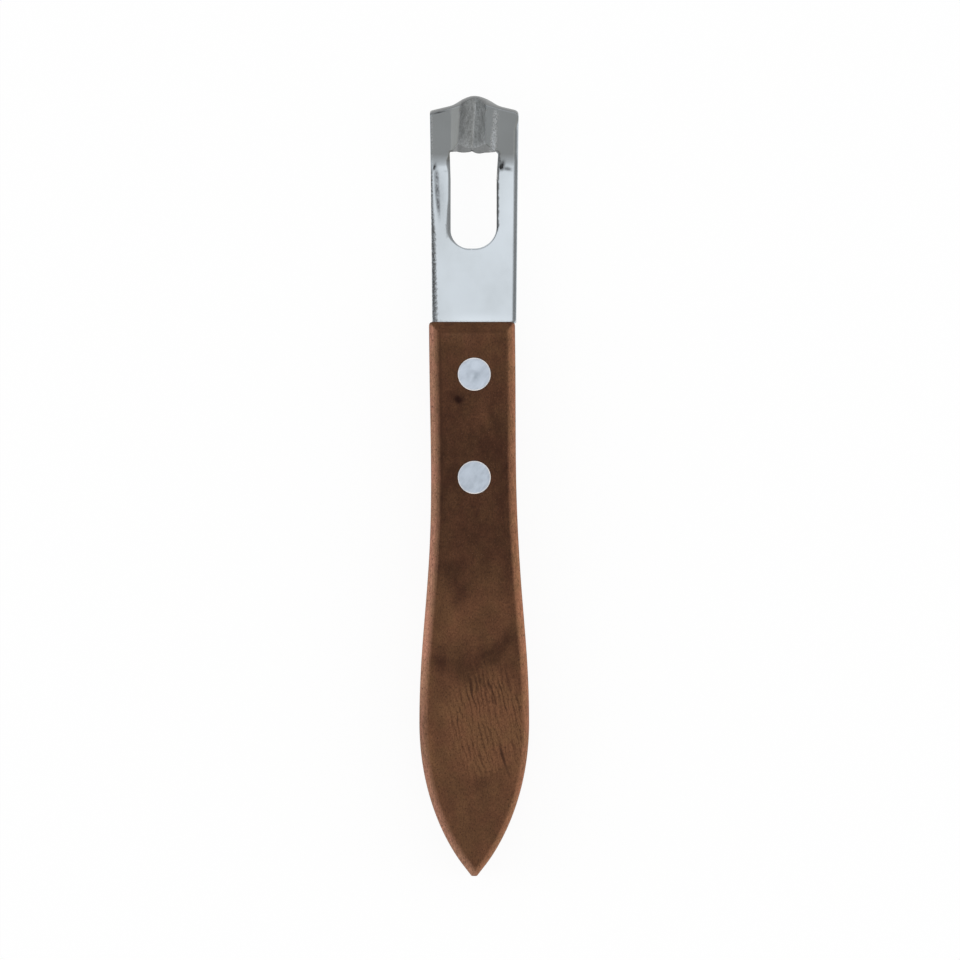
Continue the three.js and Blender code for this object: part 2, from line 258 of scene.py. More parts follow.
class StageSettings(bpy.types.PropertyGroup):
    """Floor, light and camera."""

    view_width: length("View width", "Width of the object's plane that the picture shows", 184.6)
    view_x: length("View X", "Picture's centre beside the knife's middle", 1.1)
    view_y: length("View Y", "Picture's centre along the knife", 1.1)
    view_height: length("View height", "Height of the plane that the picture's width is given for", 9)
    camera_distance: length("Camera distance", "Height of the camera above that plane", 1500)
    floor_size: length("Floor size", "Width of the floor", 6000)
    floor_gap: length("Floor gap", "Floor below the knife's back", 0.1)
    floor_colour: colour("Floor", "White floor", 0.97, 0.97, 0.97)
    floor_glow: share("Floor glow", "Share of the floor's white that takes no shadow", 0.92)
    front_card: colour("Front card", "Grey card that the leaning plate mirrors", 0.238, 0.22, 0.192)
    corner_card: colour("Corner card", "Paler part of that card, towards the right", 0.41, 0.382, 0.335)
    front_card_y: length("Front card place", "Distance of that card in front of the knife", 700)
    front_card_x: length("Front card reach", "How far that card reaches to the left and right", 900)
    front_card_foot: length("Front card foot", "Height of that card's lower end", 100)
    front_card_top: length("Front card top", "Height of that card's upper end", 2800)
    fade_start: length("Fade start", "Height where that card starts to fade to the sky's white", 500)
    fade_end: length("Fade end", "Height where it has faded", 2700)
    corner_x: length("Corner", "Where the paler part starts", 160)
    left_card: colour("Left card", "Grey card that the left edges mirror", 0.17, 0.17, 0.17)
    right_card: colour("Right card", "Grey card that the right edges mirror", 0.34, 0.335, 0.325)
    fade_power: number("Fade power", "Below 1, the front card fades faster at first", 0.55)
    side_card_x: length("Side cards", "Distance of the left and right cards", 750)
    side_card_start: length("Side card start", "How far those cards reach towards the butt", 650)
    side_card_end: length("Side card end", "How far those cards reach towards the cutter", 700)
    side_card_foot: length("Side card foot", "Height of those cards' lower ends", 10)
    side_card_top: length("Side card top", "Height of those cards' upper ends", 900)
    side_fade_start: length("Side fade start", "Height where the left card starts to fade", 50)
    side_fade_power: number("Side fade power", "Above 1, the left card fades slower at first", 1.6)
    sky: number("Sky", "Brightness of the studio all round", 0.8)
    top_light: power("Top light", "Watts of the lamp overhead", 0.71)
    top_size: length("Top light size", "Width of the lamp overhead", 800)
    top_height: length("Top light height", "Height of the lamp overhead", 1800)
    side_light: power("Side light", "Watts of each side lamp", 4.0)
    side_light_x: length("Side light place", "Distance of the side lamps", 1200)
    side_light_height: length("Side light height", "Height of the side lamps", 500)
    side_light_width: length("Side light width", "Width of the side lamps", 500)
    side_light_length: length("Side light length", "Length of the side lamps along the knife", 1400)
    camera_reach: length("Camera reach", "How far the camera sees", 10000)


# Plane geometry


# How many points are measured against the loops at once.
BATCH = 1500
# A place on a loop's side stays just short of the side's end.
SIDE_END = 0.999
# A ring's point needs this share of the ring's distance to every edge.
RING_ROOM = 0.98
# Points that are nearer to each other than this become one.
MERGE = 1e-9
# Triangles of a smaller area than this are left out along straight edges.
SLIVER = 1e-5 * MM * MM


def unit(vector):
    return vector / np.linalg.norm(vector)


def bezier(a, b, c, d, steps):
    """Points of a cubic curve, without its last one."""
    t = np.linspace(0, 1, steps, endpoint=False)[:, None]
    a, b, c, d = (np.array(p) for p in (a, b, c, d))
    return (1 - t) ** 3 * a + 3 * (1 - t) ** 2 * t * b + 3 * (1 - t) * t ** 2 * c + t ** 3 * d


def fillet(before, here, after, radius, step):
    """The arc that rounds one corner."""
    to_before = unit(before - here)
    to_after = unit(after - here)
    half = math.acos(np.clip(to_before @ to_after, -1, 1)) / 2
    centre = here + unit(to_before + to_after) * radius / math.sin(half)
    start = here + to_before * radius / math.tan(half) - centre
    end = here + to_after * radius / math.tan(half) - centre
    first = math.atan2(start[1], start[0])
    turn = (math.atan2(end[1], end[0]) - first + math.pi) % (2 * math.pi) - math.pi
    steps = max(3, math.ceil(abs(turn) * radius / step))
    turns = first + turn * np.linspace(0, 1, steps + 1)
    return centre + radius * np.stack([np.cos(turns), np.sin(turns)], 1)


def outline(corners, step):
    """A closed outline through corners (x, y, radius), with its long sides divided."""
    places = [np.array(c[:2], float) for c in corners]
    points = []
    for i, (_, _, radius) in enumerate(corners):
        here, after = places[i], places[(i + 1) % len(places)]
        points.extend(fillet(places[i - 1], here, after, radius, step) if radius else [here])
    divided = []
    for i, here in enumerate(points):
        after = points[(i + 1) % len(points)]
        parts = max(1, round(np.linalg.norm(after - here) / step))
        divided.extend(here + (after - here) * k / parts for k in range(parts))
    return np.array(divided)


def circle(centre, radius, steps):
    """A round hole's loop. It runs clockwise, so that the material lies on its left."""
    turns = -2 * math.pi * np.arange(steps) / steps
    return np.array(centre) + radius * np.stack([np.cos(turns), np.sin(turns)], 1)


def nearest_on(loops, points):
    """Distance from each point to the loops, and the place on them, counted in loop points."""
    starts = np.concatenate(loops)
    ends = np.concatenate([np.roll(loop, -1, 0) for loop in loops])
    sides = ends - starts
    squared = (sides ** 2).sum(1)
    distances = []
    places = []
    for part in np.array_split(points, max(1, len(points) // BATCH)):
        offset = part[:, None, :] - starts[None]
        along = np.clip((offset * sides).sum(2) / squared, 0, 1)
        gaps = ((offset - along[..., None] * sides) ** 2).sum(2)
        best = gaps.argmin(1)
        rows = np.arange(len(part))
        distances.append(np.sqrt(gaps[rows, best]))
        places.append(best + along[rows, best] * SIDE_END)
    return np.concatenate(distances), np.concatenate(places)


def inside(loops, points):
    """True where a point lies within the outline and in none of its holes."""
    starts = np.concatenate(loops)
    ends = np.concatenate([np.roll(loop, -1, 0) for loop in loops])
    crossings = np.zeros(len(points), int)
    for (ax, ay), (bx, by) in zip(starts, ends):
        if ay == by:
            continue
        spans = (points[:, 1] < ay) != (points[:, 1] < by)
        at = ax + (points[:, 1] - ay) * (bx - ax) / (by - ay)
        crossings += spans & (points[:, 0] < at)
    return crossings % 2 == 1


def clear_of(points, others, gap):
    """True where a point is no nearer than a gap to any of the others."""
    near = [np.hypot(*(others - point).T).min() for point in points]
    return np.array(near) > gap


def grid(low, high, step):
    """Evenly spread points of a rectangle."""
    across = np.arange(low[0], high[0], step)
    along = np.arange(low[1], high[1], step)
    return np.array(np.meshgrid(across, along)).reshape(2, -1).T


class Plan:
    """A flat shape in triangles, whose points know their distance from the edge and place on it."""

    def __init__(self, loops, bands, loose):
        self.loops = loops
        rows = [*loops, *self.rings(bands), loose]
        points = np.concatenate(rows)
        counts = [len(loop) for loop in loops]
        sides = []
        for first, count in zip(np.cumsum([0, *counts]), counts):
            sides += [(first + i, first + (i + 1) % count) for i in range(count)]
        flat, _, faces, origins, _, _ = delaunay_2d_cdt([Vector(p) for p in points], sides, [], 0, MERGE)
        self.points = np.array([tuple(p) for p in flat])
        made = {old: new for new, olds in enumerate(origins) for old in olds}
        ends = np.cumsum(counts)
        self.rims = [[made[i] for i in range(end - count, end)] for end, count in zip(ends, counts)]
        triangles = np.array(faces)
        kept = inside(loops, self.points[triangles].mean(1)) & ~self.slivers(triangles)
        self.triangles = triangles[kept]
        self.distance, self.place = nearest_on(loops, self.points)

    def slivers(self, triangles):
        """True for triangles without area between points of a rim, which lie in one straight line."""
        (ax, ay), (bx, by), (cx, cy) = self.points[triangles].transpose(1, 2, 0)
        area = np.abs((bx - ax) * (cy - ay) - (by - ay) * (cx - ax)) / 2
        on_rim = np.isin(triangles, np.concatenate(self.rims)).all(1)
        return on_rim & (area < SLIVER)

    def rings(self, bands):
        """Rows of points that follow each loop at the distances given for it."""
        for loop, distances in zip(self.loops, bands):
            along = np.roll(loop, -1, 0) - np.roll(loop, 1, 0)
            along /= np.linalg.norm(along, axis=1)[:, None]
            inward = np.stack([-along[:, 1], along[:, 0]], 1)
            for distance in distances:
                row = loop + inward * distance
                clear = nearest_on(self.loops, row)[0] > distance * RING_ROOM
                yield row[clear & inside(self.loops, row)]

    def from_edge(self, values):
        """Values that are given at the loops' points, taken at each point's nearest place on the edge."""
        result = np.zeros(len(self.points))
        first = 0
        for loop in self.loops:
            count = len(loop)
            on_loop = (self.place >= first) & (self.place < first + count)
            closed = np.append(values[first : first + count], values[first])
            result[on_loop] = np.interp(self.place[on_loop] - first, np.arange(count + 1), closed)
            first += count
        return result


def smooth_step(low, high, value):
    """Zero at low, one at high, and a smooth rise between them."""
    t = np.clip((value - low) / (high - low), 0, 1)
    return t * t * (3 - 2 * t)


def hinge(value, softness):
    """Zero below 0 and the value itself above, with a rounded corner between."""
    corner = (value + softness) ** 2 / (4 * softness)
    return np.where(value < -softness, 0, np.where(value > softness, value, corner))


def soft_line(value, middle, width):
    """One in the middle, fading away from it on both sides."""
    return np.exp(-(((value - middle) / width) ** 2))


def soft_line_mm(value, middle, width):
    """A soft line whose middle and width are given in millimetres."""
    return soft_line(value / MM, middle, width)


def softened(values, times):
    """Values round a loop, blended with their neighbours."""
    for _ in range(times):
        values = (np.roll(values, 1) + 2 * values + np.roll(values, -1)) / 4
    return values


def round_loop(values, places):
    """Values that are given at a loop's points, at places between them."""
    return np.interp(places, np.arange(len(values) + 1), np.append(values, values[0]))


def round_over(distance, radius):
    """How far a rounded edge has come down at a distance from the side."""
    t = np.clip(1 - distance / radius, 0, 1)
    return radius * (1 - np.sqrt(1 - t * t))


# Meshes and pieces


# Edges that turn more than this are shaded sharp.
SHARP = math.radians(32)
LATHE_STEPS = 96


def piece_of(name, vertices, faces):
    """An object that is shaded smooth but for its sharp edges."""
    mesh = bpy.data.meshes.new(name)
    mesh.from_pydata(np.asarray(vertices).tolist(), [], faces)
    mesh.validate()
    mesh.shade_smooth()
    mesh.set_sharp_from_angle(angle=SHARP)
    piece = bpy.data.objects.new(name, mesh)
    bpy.context.scene.collection.objects.link(piece)
    return piece


def plate(name, plan, front, back):
    """A closed body between a front and a back laid over one plan."""
    count = len(plan.points)
    faces = plan.triangles.tolist() + (plan.triangles[:, ::-1] + count).tolist()
    for rim in plan.rims:
        for here, after in zip(rim, rim[1:] + rim[:1]):
            faces.append((here + count, after + count, after, here))
    return piece_of(name, np.concatenate([front, back]), faces)


def lathe(name, profile, centre):
    """A turned body. The (radius, height) points of its profile run from axis to axis."""
    inner = profile[1:-1]
    turns = 2 * math.pi * np.arange(LATHE_STEPS) / LATHE_STEPS
    around = np.column_stack([np.cos(turns), np.sin(turns)])
    vertices = [(*centre, profile[0][1]), (*centre, profile[-1][1])]
    for radius, height in inner:
        vertices += [(x, y, height) for x, y in centre + radius * around]
    last = 2 + (len(inner) - 1) * LATHE_STEPS
    faces = []
    for k in range(LATHE_STEPS):
        after = (k + 1) % LATHE_STEPS
        faces.append((0, 2 + after, 2 + k))
        faces.append((1, last + k, last + after))
        for low in range(2, last, LATHE_STEPS):
            high = low + LATHE_STEPS
            faces.append((low + k, low + after, high + after, high + k))
    return piece_of(name, vertices, faces)


def cut(piece, tool):
    """Takes the tool's shape out of a piece."""
    modifier = piece.modifiers.new("Cut", "BOOLEAN")
    modifier.operation = "DIFFERENCE"
    modifier.solver = "EXACT"
    modifier.object = tool
    graph = bpy.context.evaluated_depsgraph_get()
    made = bpy.data.meshes.new_from_object(
        piece.evaluated_get(graph), preserve_all_data_layers=True, depsgraph=graph
    )
    piece.modifiers.clear()
    piece.data = made
    made.shade_smooth()
    made.set_sharp_from_angle(angle=SHARP)
    bpy.data.objects.remove(tool)


def mark(piece, name, values):
    """Gives each vertex a number that the finish reads."""
    attribute = piece.data.attributes.new(name, "FLOAT", "POINT")
    attribute.data.foreach_set("value", np.asarray(values, np.float32))


def vertices_of(piece):
    """A piece's vertices, in rows of X, Y and Z."""
    places = np.zeros(len(piece.data.vertices) * 3, np.float32)
    piece.data.vertices.foreach_get("co", places)
    return places.reshape(-1, 3).astype(float)


def settle(piece, node, material):
    """Dresses a piece, rides it on the knife and lets it stand for its solid."""
    piece.data.materials.clear()
    piece.data.materials.append(material)
    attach(piece, BODY)
    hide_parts(node)


# Finishes


# The part of its unit that one line of a wave texture takes up.
WAVE_PERIOD = 2 * math.pi / 20
# A mix node's sockets for colours: factor, first and second colour, and its result.
MIX_INPUTS = (0, 6, 7)
MIX_RESULT = 2
# Ranges of a noise's values.
WIDE = (0.3, 0.7)
MEDIUM = (0.35, 0.65)
NARROW = (0.38, 0.62)


class Finish:
    """A node material in the making."""

    def __init__(self, name):
        self.material = bpy.data.materials.new(name)
        self.material.use_nodes = True
        self.tree = self.material.node_tree
        self.shader = self.tree.nodes["Principled BSDF"]
        self.places = self.node("ShaderNodeTexCoord").outputs["Object"]

    def node(self, kind, inputs=None, **settings):
        """A new node with its inputs and settings."""
        made = self.tree.nodes.new(kind)
        for key, value in settings.items():
            setattr(made, key, value)
        for key, value in (inputs or {}).items():
            self.feed(made.inputs[key], value)
        return made

    def feed(self, socket, value):
        """Links a socket, or sets it to a constant."""
        if isinstance(value, bpy.types.NodeSocket):
            self.tree.links.new(value, socket)
        elif socket.type == "RGBA":
            socket.default_value = (*value, 1)
        else:
            socket.default_value = value

    def set(self, **values):
        """Feeds the main shader's sockets, whose names have _ for each space."""
        for key, value in values.items():
            self.feed(self.shader.inputs[key.replace("_", " ")], value)

    def math(self, operation, *values):
        return self.node("ShaderNodeMath", dict(enumerate(values)), operation=operation).outputs[0]

    def mix(self, factor, a, b, blend="MIX"):
        """Two colours in one."""
        made = self.node("ShaderNodeMix", data_type="RGBA", blend_type=blend)
        for key, value in zip(MIX_INPUTS, (factor, a, b)):
            self.feed(made.inputs[key], value)
        return made.outputs[MIX_RESULT]

    def between(self, value, low, high, to_low=0.0, to_high=1.0, smooth=True):
        """A value moved from one range to another, and held at its ends."""
        made = self.node("ShaderNodeMapRange", interpolation_type="SMOOTHSTEP" if smooth else "LINEAR")
        for key, setting in enumerate((value, low, high, to_low, to_high)):
            self.feed(made.inputs[key], setting)
        return made.outputs[0]

    def swing(self, value, span, reach, middle=0.0):
        """A tone that moves by a reach to both sides of its middle, as a value goes through a range."""
        return self.between(value, *span, middle - reach, middle + reach)

    def noise(self, across, along, turn=0.0, detail=2.0, roughness=0.5, output="Fac", places=None):
        """Noise whose lumps have a size in millimetres, and may be turned about the knife's face."""
        inputs = {"Vector": places or self.places, "Rotation": (0, 0, turn)}
        inputs["Scale"] = (across * MM, along * MM, across * MM)
        lumps = self.node("ShaderNodeMapping", inputs, vector_type="TEXTURE").outputs[0]
        inputs = {"Vector": lumps, "Scale": 1.0, "Detail": detail, "Roughness": roughness}
        return self.node("ShaderNodeTexNoise", inputs).outputs[output]

    def ripples(self, gap, along, turn, places):
        """Wavy lines with a gap in millimetres: zero on the lines and one between them."""
        across = gap * MM / WAVE_PERIOD
        inputs = {"Vector": places, "Rotation": (0, 0, turn), "Scale": (across, along * MM, across)}
        lines = self.node("ShaderNodeMapping", inputs, vector_type="TEXTURE").outputs[0]
        inputs = {"Vector": lines, "Scale": 1.0, "Distortion": 8.0, "Detail": 3.0, "Detail Scale": 1.2}
        return self.node("ShaderNodeTexWave", inputs, bands_direction="X").outputs["Fac"]

    def wandering(self, across, along, reach):
        """Places shifted to and fro by up to a reach, so that what is drawn there has uneven rims."""
        lumps = self.noise(across, along, detail=3.0, output="Color")
        inputs = {0: lumps, 1: (0.5, 0.5, 0.5)}
        centred = self.node("ShaderNodeVectorMath", inputs, operation="SUBTRACT").outputs[0]
        inputs = {0: centred, 1: (2 * reach * MM, 2 * reach * MM, 0), 2: self.places}
        return self.node("ShaderNodeVectorMath", inputs, operation="MULTIPLY_ADD").outputs[0]

    def across(self, places):
        return self.node("ShaderNodeSeparateXYZ", {0: places}).outputs["X"]

    def along(self, places):
        return self.node("ShaderNodeSeparateXYZ", {0: places}).outputs["Y"]

    def banded(self, value, bands):
        """A tone that changes along the handle: bands of (place in millimetres, tone)."""
        low, high = bands[0][0], bands[-1][0]
        ramp = self.node("ShaderNodeValToRGB", {0: self.between(value, low * MM, high * MM, smooth=False)})
        ramp.color_ramp.interpolation = "EASE"
        stops = ramp.color_ramp.elements
        while len(stops) < len(bands):
            stops.new(0.5)
        for stop, (place, tone) in zip(stops, bands):
            stop.position = (place - low) / (high - low)
            stop.color = (tone, tone, tone, 1)
        return ramp.outputs[0]

    def grey(self, value):
        return self.node("ShaderNodeCombineColor", {0: value, 1: value, 2: value}).outputs[0]

    def attribute(self, name):
        return self.node("ShaderNodeAttribute", attribute_name=name).outputs["Fac"]

    def patch(self, places, centre, size, turn=0.0):
        """One in the middle of a soft oval, falling to zero at its rim."""
        inputs = {"Vector": places, "Rotation": (0, 0, turn)}
        inputs["Location"] = (centre[0] * MM, centre[1] * MM, MIDDLE_Z)
        inputs["Scale"] = (size[0] * MM, size[1] * MM, 1)
        inside_oval = self.node("ShaderNodeMapping", inputs, vector_type="TEXTURE").outputs[0]
        reach = self.node("ShaderNodeVectorMath", {0: inside_oval}, operation="LENGTH").outputs["Value"]
        return self.between(reach, 0, 1, 1, 0)

    def toned(self, tone, places, areas):
        """A tone with soft areas added: middle and half size in millimetres, turn in degrees, strength."""
        for middle, size, turn, strength in areas:
            area = self.patch(places, middle, size, math.radians(turn))
            tone = self.math("MULTIPLY_ADD", area, strength, tone)
        return tone

    def scaled(self, colour_in, factor):
        """A colour made darker or lighter."""
        return self.mix(1.0, colour_in, self.grey(factor), "MULTIPLY")

    def bump(self, height, strength, distance):
        inputs = {"Height": height, "Strength": strength, "Distance": distance}
        return self.node("ShaderNodeBump", inputs).outputs[0]

    def surface(self, shader):
        """Shows a shader other than the material's first one."""
        self.feed(self.tree.nodes["Material Output"].inputs["Surface"], shader)


# The wood's tone along the handle, from the butt to the blade end: place (Y) in millimetres, tone.
WOOD_BANDS = (
    (-75, 0.59), (-58, 0.62), (-52, 0.98), (-44, 1.0), (-38, 0.65), (-33, 0.42), (-28, 0.57),
    (-22, 0.55), (-17, 0.31), (-10, 0.21), (5, 0.17), (15, 0.24), (24, 0.41), (31.5, 0.43),
)
# The tone of the worked edges, in the same way.
EDGE_BANDS = (
    (-75, 0.49), (-60, 0.55), (-45, 0.49), (-38, 0.67), (-30, 0.82), (-20, 0.7), (-3, 0.55),
    (16, 0.49), (31.5, 0.49),
)
# Soft areas of the wood: middle (X, Y) and half size (across, along) in millimetres, turn in degrees,
# tone added.
WOOD_AREAS = (
    ((-4.4, 16.4), (3.0, 1.6), 0, -0.22),
    ((1.9, 13.8), (2.4, 4.2), 0, 0.22),
    ((5.9, 3.0), (2.6, 9.0), 0, -0.11),
    ((-5.2, -15.6), (4.5, 2.6), 0, -0.15),
    ((-3.0, -20.2), (3.2, 4.4), 10, -0.28),
    ((-3.8, -26.2), (4.8, 5.0), 0, 0.22),
    ((4.9, -30.5), (9.0, 3.2), 33, -0.4),
    ((-3.0, -35.4), (8.5, 3.2), 10, -0.2),
    ((-6.4, -34.4), (3.6, 2.8), 0, -0.22),
    ((-1.6, -37.6), (5.0, 3.0), 0, -0.2),
    ((-7.4, -45.5), (4.2, 9.0), 0, -0.38),
    ((-5.0, -53.0), (4.6, 6.0), 0, -0.34),
    ((1.2, -52.5), (4.0, 4.0), 0, 0.14),
    ((5.0, -45.0), (4.5, 6.0), 0, 0.1),
    ((0.0, -57.5), (6.0, 3.0), 0, -0.15),
    ((1.5, -48.0), (6.0, 10.0), 0, 0.11),
)
# Soft areas of the edges, in the same way.
EDGE_AREAS = (
    ((-9.9, -46.0), (4.0, 10.0), 0, -0.28),
    ((-9.5, -29.6), (4.0, 7.0), 0, 0.36),
    ((-8.3, -3.0), (4.0, 8.0), 0, -0.11),
    ((9.5, -20.0), (6.0, 60.0), 0, -0.06),
    ((-9.3, -5.0), (6.0, 50.0), 0, 0.12),
)
# One long dark streak in the open grain: middle, half size and turn, and how dark it is.
DARK_STREAK = ((5.6, -52.2), (0.5, 5.6), math.radians(17))
STREAK_DARKNESS = 0.8
# Where the grain is open: middle and half size, and how it runs.
OPEN_GRAIN = ((3.0, -45.4), (10.9, 15.0))
GRAIN_TURN = math.radians(13)
# The small knot: its middle, the half sizes of its halo and of its core, and how dark the halo is.
KNOT_PLACE = (-3.1, 16.5)
KNOT_HALO = (2.6, 2.4)
KNOT_CORE = (1.35, 1.2)
HALO_DARKNESS = 0.6
# How places wander on the wood: size of the lumps across and along, and reach, in millimetres.
FIGURE_WANDER = (6, 7, 2.6)
GRAIN_WANDER = (2.5, 5, 0.5)
KNOT_WANDER = (1.2, 1.2, 0.45)
# Noises of the wood: size of the lumps across and along, in millimetres.
HUES = (4, 5)
CLOUDS = (2.2, 3.6)
MOTTLE = (0.3, 0.48)
RIDGES = (0.4, 5.0)
RIPPLES = (0.95, 5.5)
FIBRES = (0.26, 2.8)
STRANDS = (0.26, 2.6)
LONG_GRAIN = (0.5, 14)
FLECKS = (0.19, 0.23)
SPECKS = (0.2, 0.42)
# How far some of them move the tone to both sides.
CLOUD_TONE = 0.12
MOTTLE_TONE = 0.26
RIDGE_TONE = 0.3
RIPPLE_TONE = 0.22
STRAND_TONE = 0.22
SIDE_TONE = 0.6


def open_grain(finish, places):
    """Wavy streaks, dark pores and one long dark streak, where the grain is open."""
    opened = finish.between(finish.patch(places, *OPEN_GRAIN), 0, 0.55)
    winding = finish.wandering(*GRAIN_WANDER)
    ridges = finish.noise(*RIDGES, GRAIN_TURN, detail=3.0, roughness=0.7, places=winding)
    ripples = finish.ripples(*RIPPLES, GRAIN_TURN, winding)
    ridge_tone = finish.swing(ridges, NARROW, RIDGE_TONE)
    ripple_tone = finish.swing(ripples, (0, 1), RIPPLE_TONE)
    streaks = finish.math("MULTIPLY", finish.math("ADD", ridge_tone, ripple_tone), opened)

    fibres = finish.noise(*FIBRES, GRAIN_TURN, roughness=0.65, places=winding)
    on_lines = finish.between(ripples, 0.0, 0.3, 0.4, 0)
    furrows = finish.math("MULTIPLY", on_lines, finish.between(fibres, 0.42, 0.6))
    pores = finish.math("MAXIMUM", finish.between(fibres, 0.58, 0.7, 0, 0.5), furrows)
    pores = finish.math("MULTIPLY", pores, opened)
    long_streak = finish.math("MULTIPLY", finish.patch(winding, *DARK_STREAK), STREAK_DARKNESS)
    return streaks, pores, long_streak


def face_wood(finish, handle, places, tint, grain):
    """Colour of the faces: the figure's bands and areas, the open grain, small flecks and the knot."""
    streaks, pores, long_streak = grain
    cloud = finish.noise(*CLOUDS, detail=4.0, roughness=0.6)
    tone = finish.toned(finish.banded(finish.along(places), WOOD_BANDS), places, WOOD_AREAS)
    tone = finish.math("ADD", tone, finish.swing(cloud, WIDE, CLOUD_TONE))
    base = finish.mix(finish.math("ADD", tone, streaks), handle.dark_wood, handle.light_wood)
    base = finish.mix(1.0, base, tint, "MULTIPLY")
    base = finish.mix(pores, base, handle.pore)
    base = finish.mix(long_streak, base, handle.pore)
    flecks = finish.between(finish.noise(*FLECKS, detail=0.0), 0.74, 0.82, 0, 0.42)
    base = finish.mix(flecks, base, handle.edge_dark)
    halo = finish.patch(places, KNOT_PLACE, KNOT_HALO)
    base = finish.mix(finish.math("MULTIPLY", halo, HALO_DARKNESS), base, handle.dark_wood)
    core = finish.patch(finish.wandering(*KNOT_WANDER), KNOT_PLACE, KNOT_CORE)
    return finish.mix(finish.between(core, 0, 0.9), base, handle.knot)


def bare_and_lit_wood(finish, handle, places, tint):
    """Colour of the worked edges and sides, lighter partly as bare wood and partly as painted side light
    and sheen.
    """
    strands = finish.noise(*STRANDS, detail=2.0, roughness=0.65)
    long_grain = finish.noise(*LONG_GRAIN, detail=3.0, roughness=0.6)
    side_tone = finish.swing(long_grain, MEDIUM, SIDE_TONE)
    tone = finish.toned(finish.banded(finish.along(places), EDGE_BANDS), places, EDGE_AREAS)
    tone = finish.math("ADD", tone, finish.swing(strands, MEDIUM, STRAND_TONE))
    tone = finish.math("MULTIPLY_ADD", side_tone, finish.attribute("sided"), tone)
    bare_lit = finish.mix(tone, handle.edge_dark, handle.edge_light)
    bare_lit = finish.mix(1.0, bare_lit, tint, "MULTIPLY")
    on_right = finish.between(finish.across(finish.places), 0, MM)
    return finish.mix(on_right, bare_lit, finish.mix(1.0, bare_lit, handle.right_tint, "MULTIPLY"))


def wood_finish(handle):
    """Dark open-pored wood, oiled, with its edges lighter, partly as bare wood and partly as painted side
    light and sheen.
    """
    finish = Finish("oiled_wood")
    places = finish.wandering(*FIGURE_WANDER)
    hue = finish.between(finish.noise(*HUES, detail=3.0), *NARROW)
    tint = finish.mix(hue, handle.red_tint, handle.olive_tint)
    streaks, pores, long_streak = open_grain(finish, places)
    base = face_wood(finish, handle, places, tint, (streaks, pores, long_streak))

    # The worked edges are lighter partly as bare wood and partly as painted side light and sheen.
    rubbed_and_lit = finish.attribute("rubbed_and_lit")
    base = finish.mix(rubbed_and_lit, base, bare_and_lit_wood(finish, handle, places, tint))
    half_bare_lit = finish.math("MULTIPLY", rubbed_and_lit, finish.math("SUBTRACT", 1.0, rubbed_and_lit))
    greened = finish.mix(1.0, base, handle.olive_tint, "MULTIPLY")
    base = finish.mix(finish.math("MULTIPLY", half_bare_lit, 2.4), base, greened)

    mottle = finish.noise(*MOTTLE, detail=3.0, roughness=0.8)
    base = finish.scaled(base, finish.swing(mottle, WIDE, MOTTLE_TONE, 1.0))
    broken = finish.between(mottle, 0.4, 0.6, 0.3, 1.0)
    base = finish.mix(finish.math("MULTIPLY", finish.attribute("seamed"), broken), base, handle.pore)
    specks = finish.between(finish.noise(*SPECKS, detail=1.0), 0.61, 0.71, 0, 0.7)
    base = finish.mix(specks, base, handle.pore)

    height = finish.math("MULTIPLY_ADD", streaks, 0.8, mottle)
    height = finish.math("MULTIPLY_ADD", finish.math("ADD", pores, specks), -1.5, height)
    finish.set(
        Base_Color=base,
        Roughness=finish.between(mottle, 0.2, 0.8, 0.46, 0.6),
        Specular_IOR_Level=0.08,
        Normal=finish.bump(height, 0.35, 0.06 * MM),
    )
    return finish.material


# Where the sheet's colour is a little darker or lighter: middle and half size in millimetres, turn, share
# added.
STEEL_AREAS = (
    ((-7.2, 54.0), (3.6, 12.0), 0, -0.06),
    ((7.0, 55.5), (3.6, 10.5), 0, 0.09),
    ((0.0, 36.0), (12.0, 8.0), 0, -0.05),
    # Painted light: lifts the steel beside the handle's end, where the handle's darker reflection falls.
    ((0.0, 31.5), (14.0, 2.2), 0, 0.12),
)
# Noises of the steel: size of the lumps across and along, in millimetres.
SMUDGES = (9, 12)
GRIT = (0.27, 0.36)
DAPPLES = (0.3, 0.38)
DRAWN_LINES = (0.7, 3.4)
BLOTS = (0.3, 0.4)
SATIN = (0.11, 0.11)


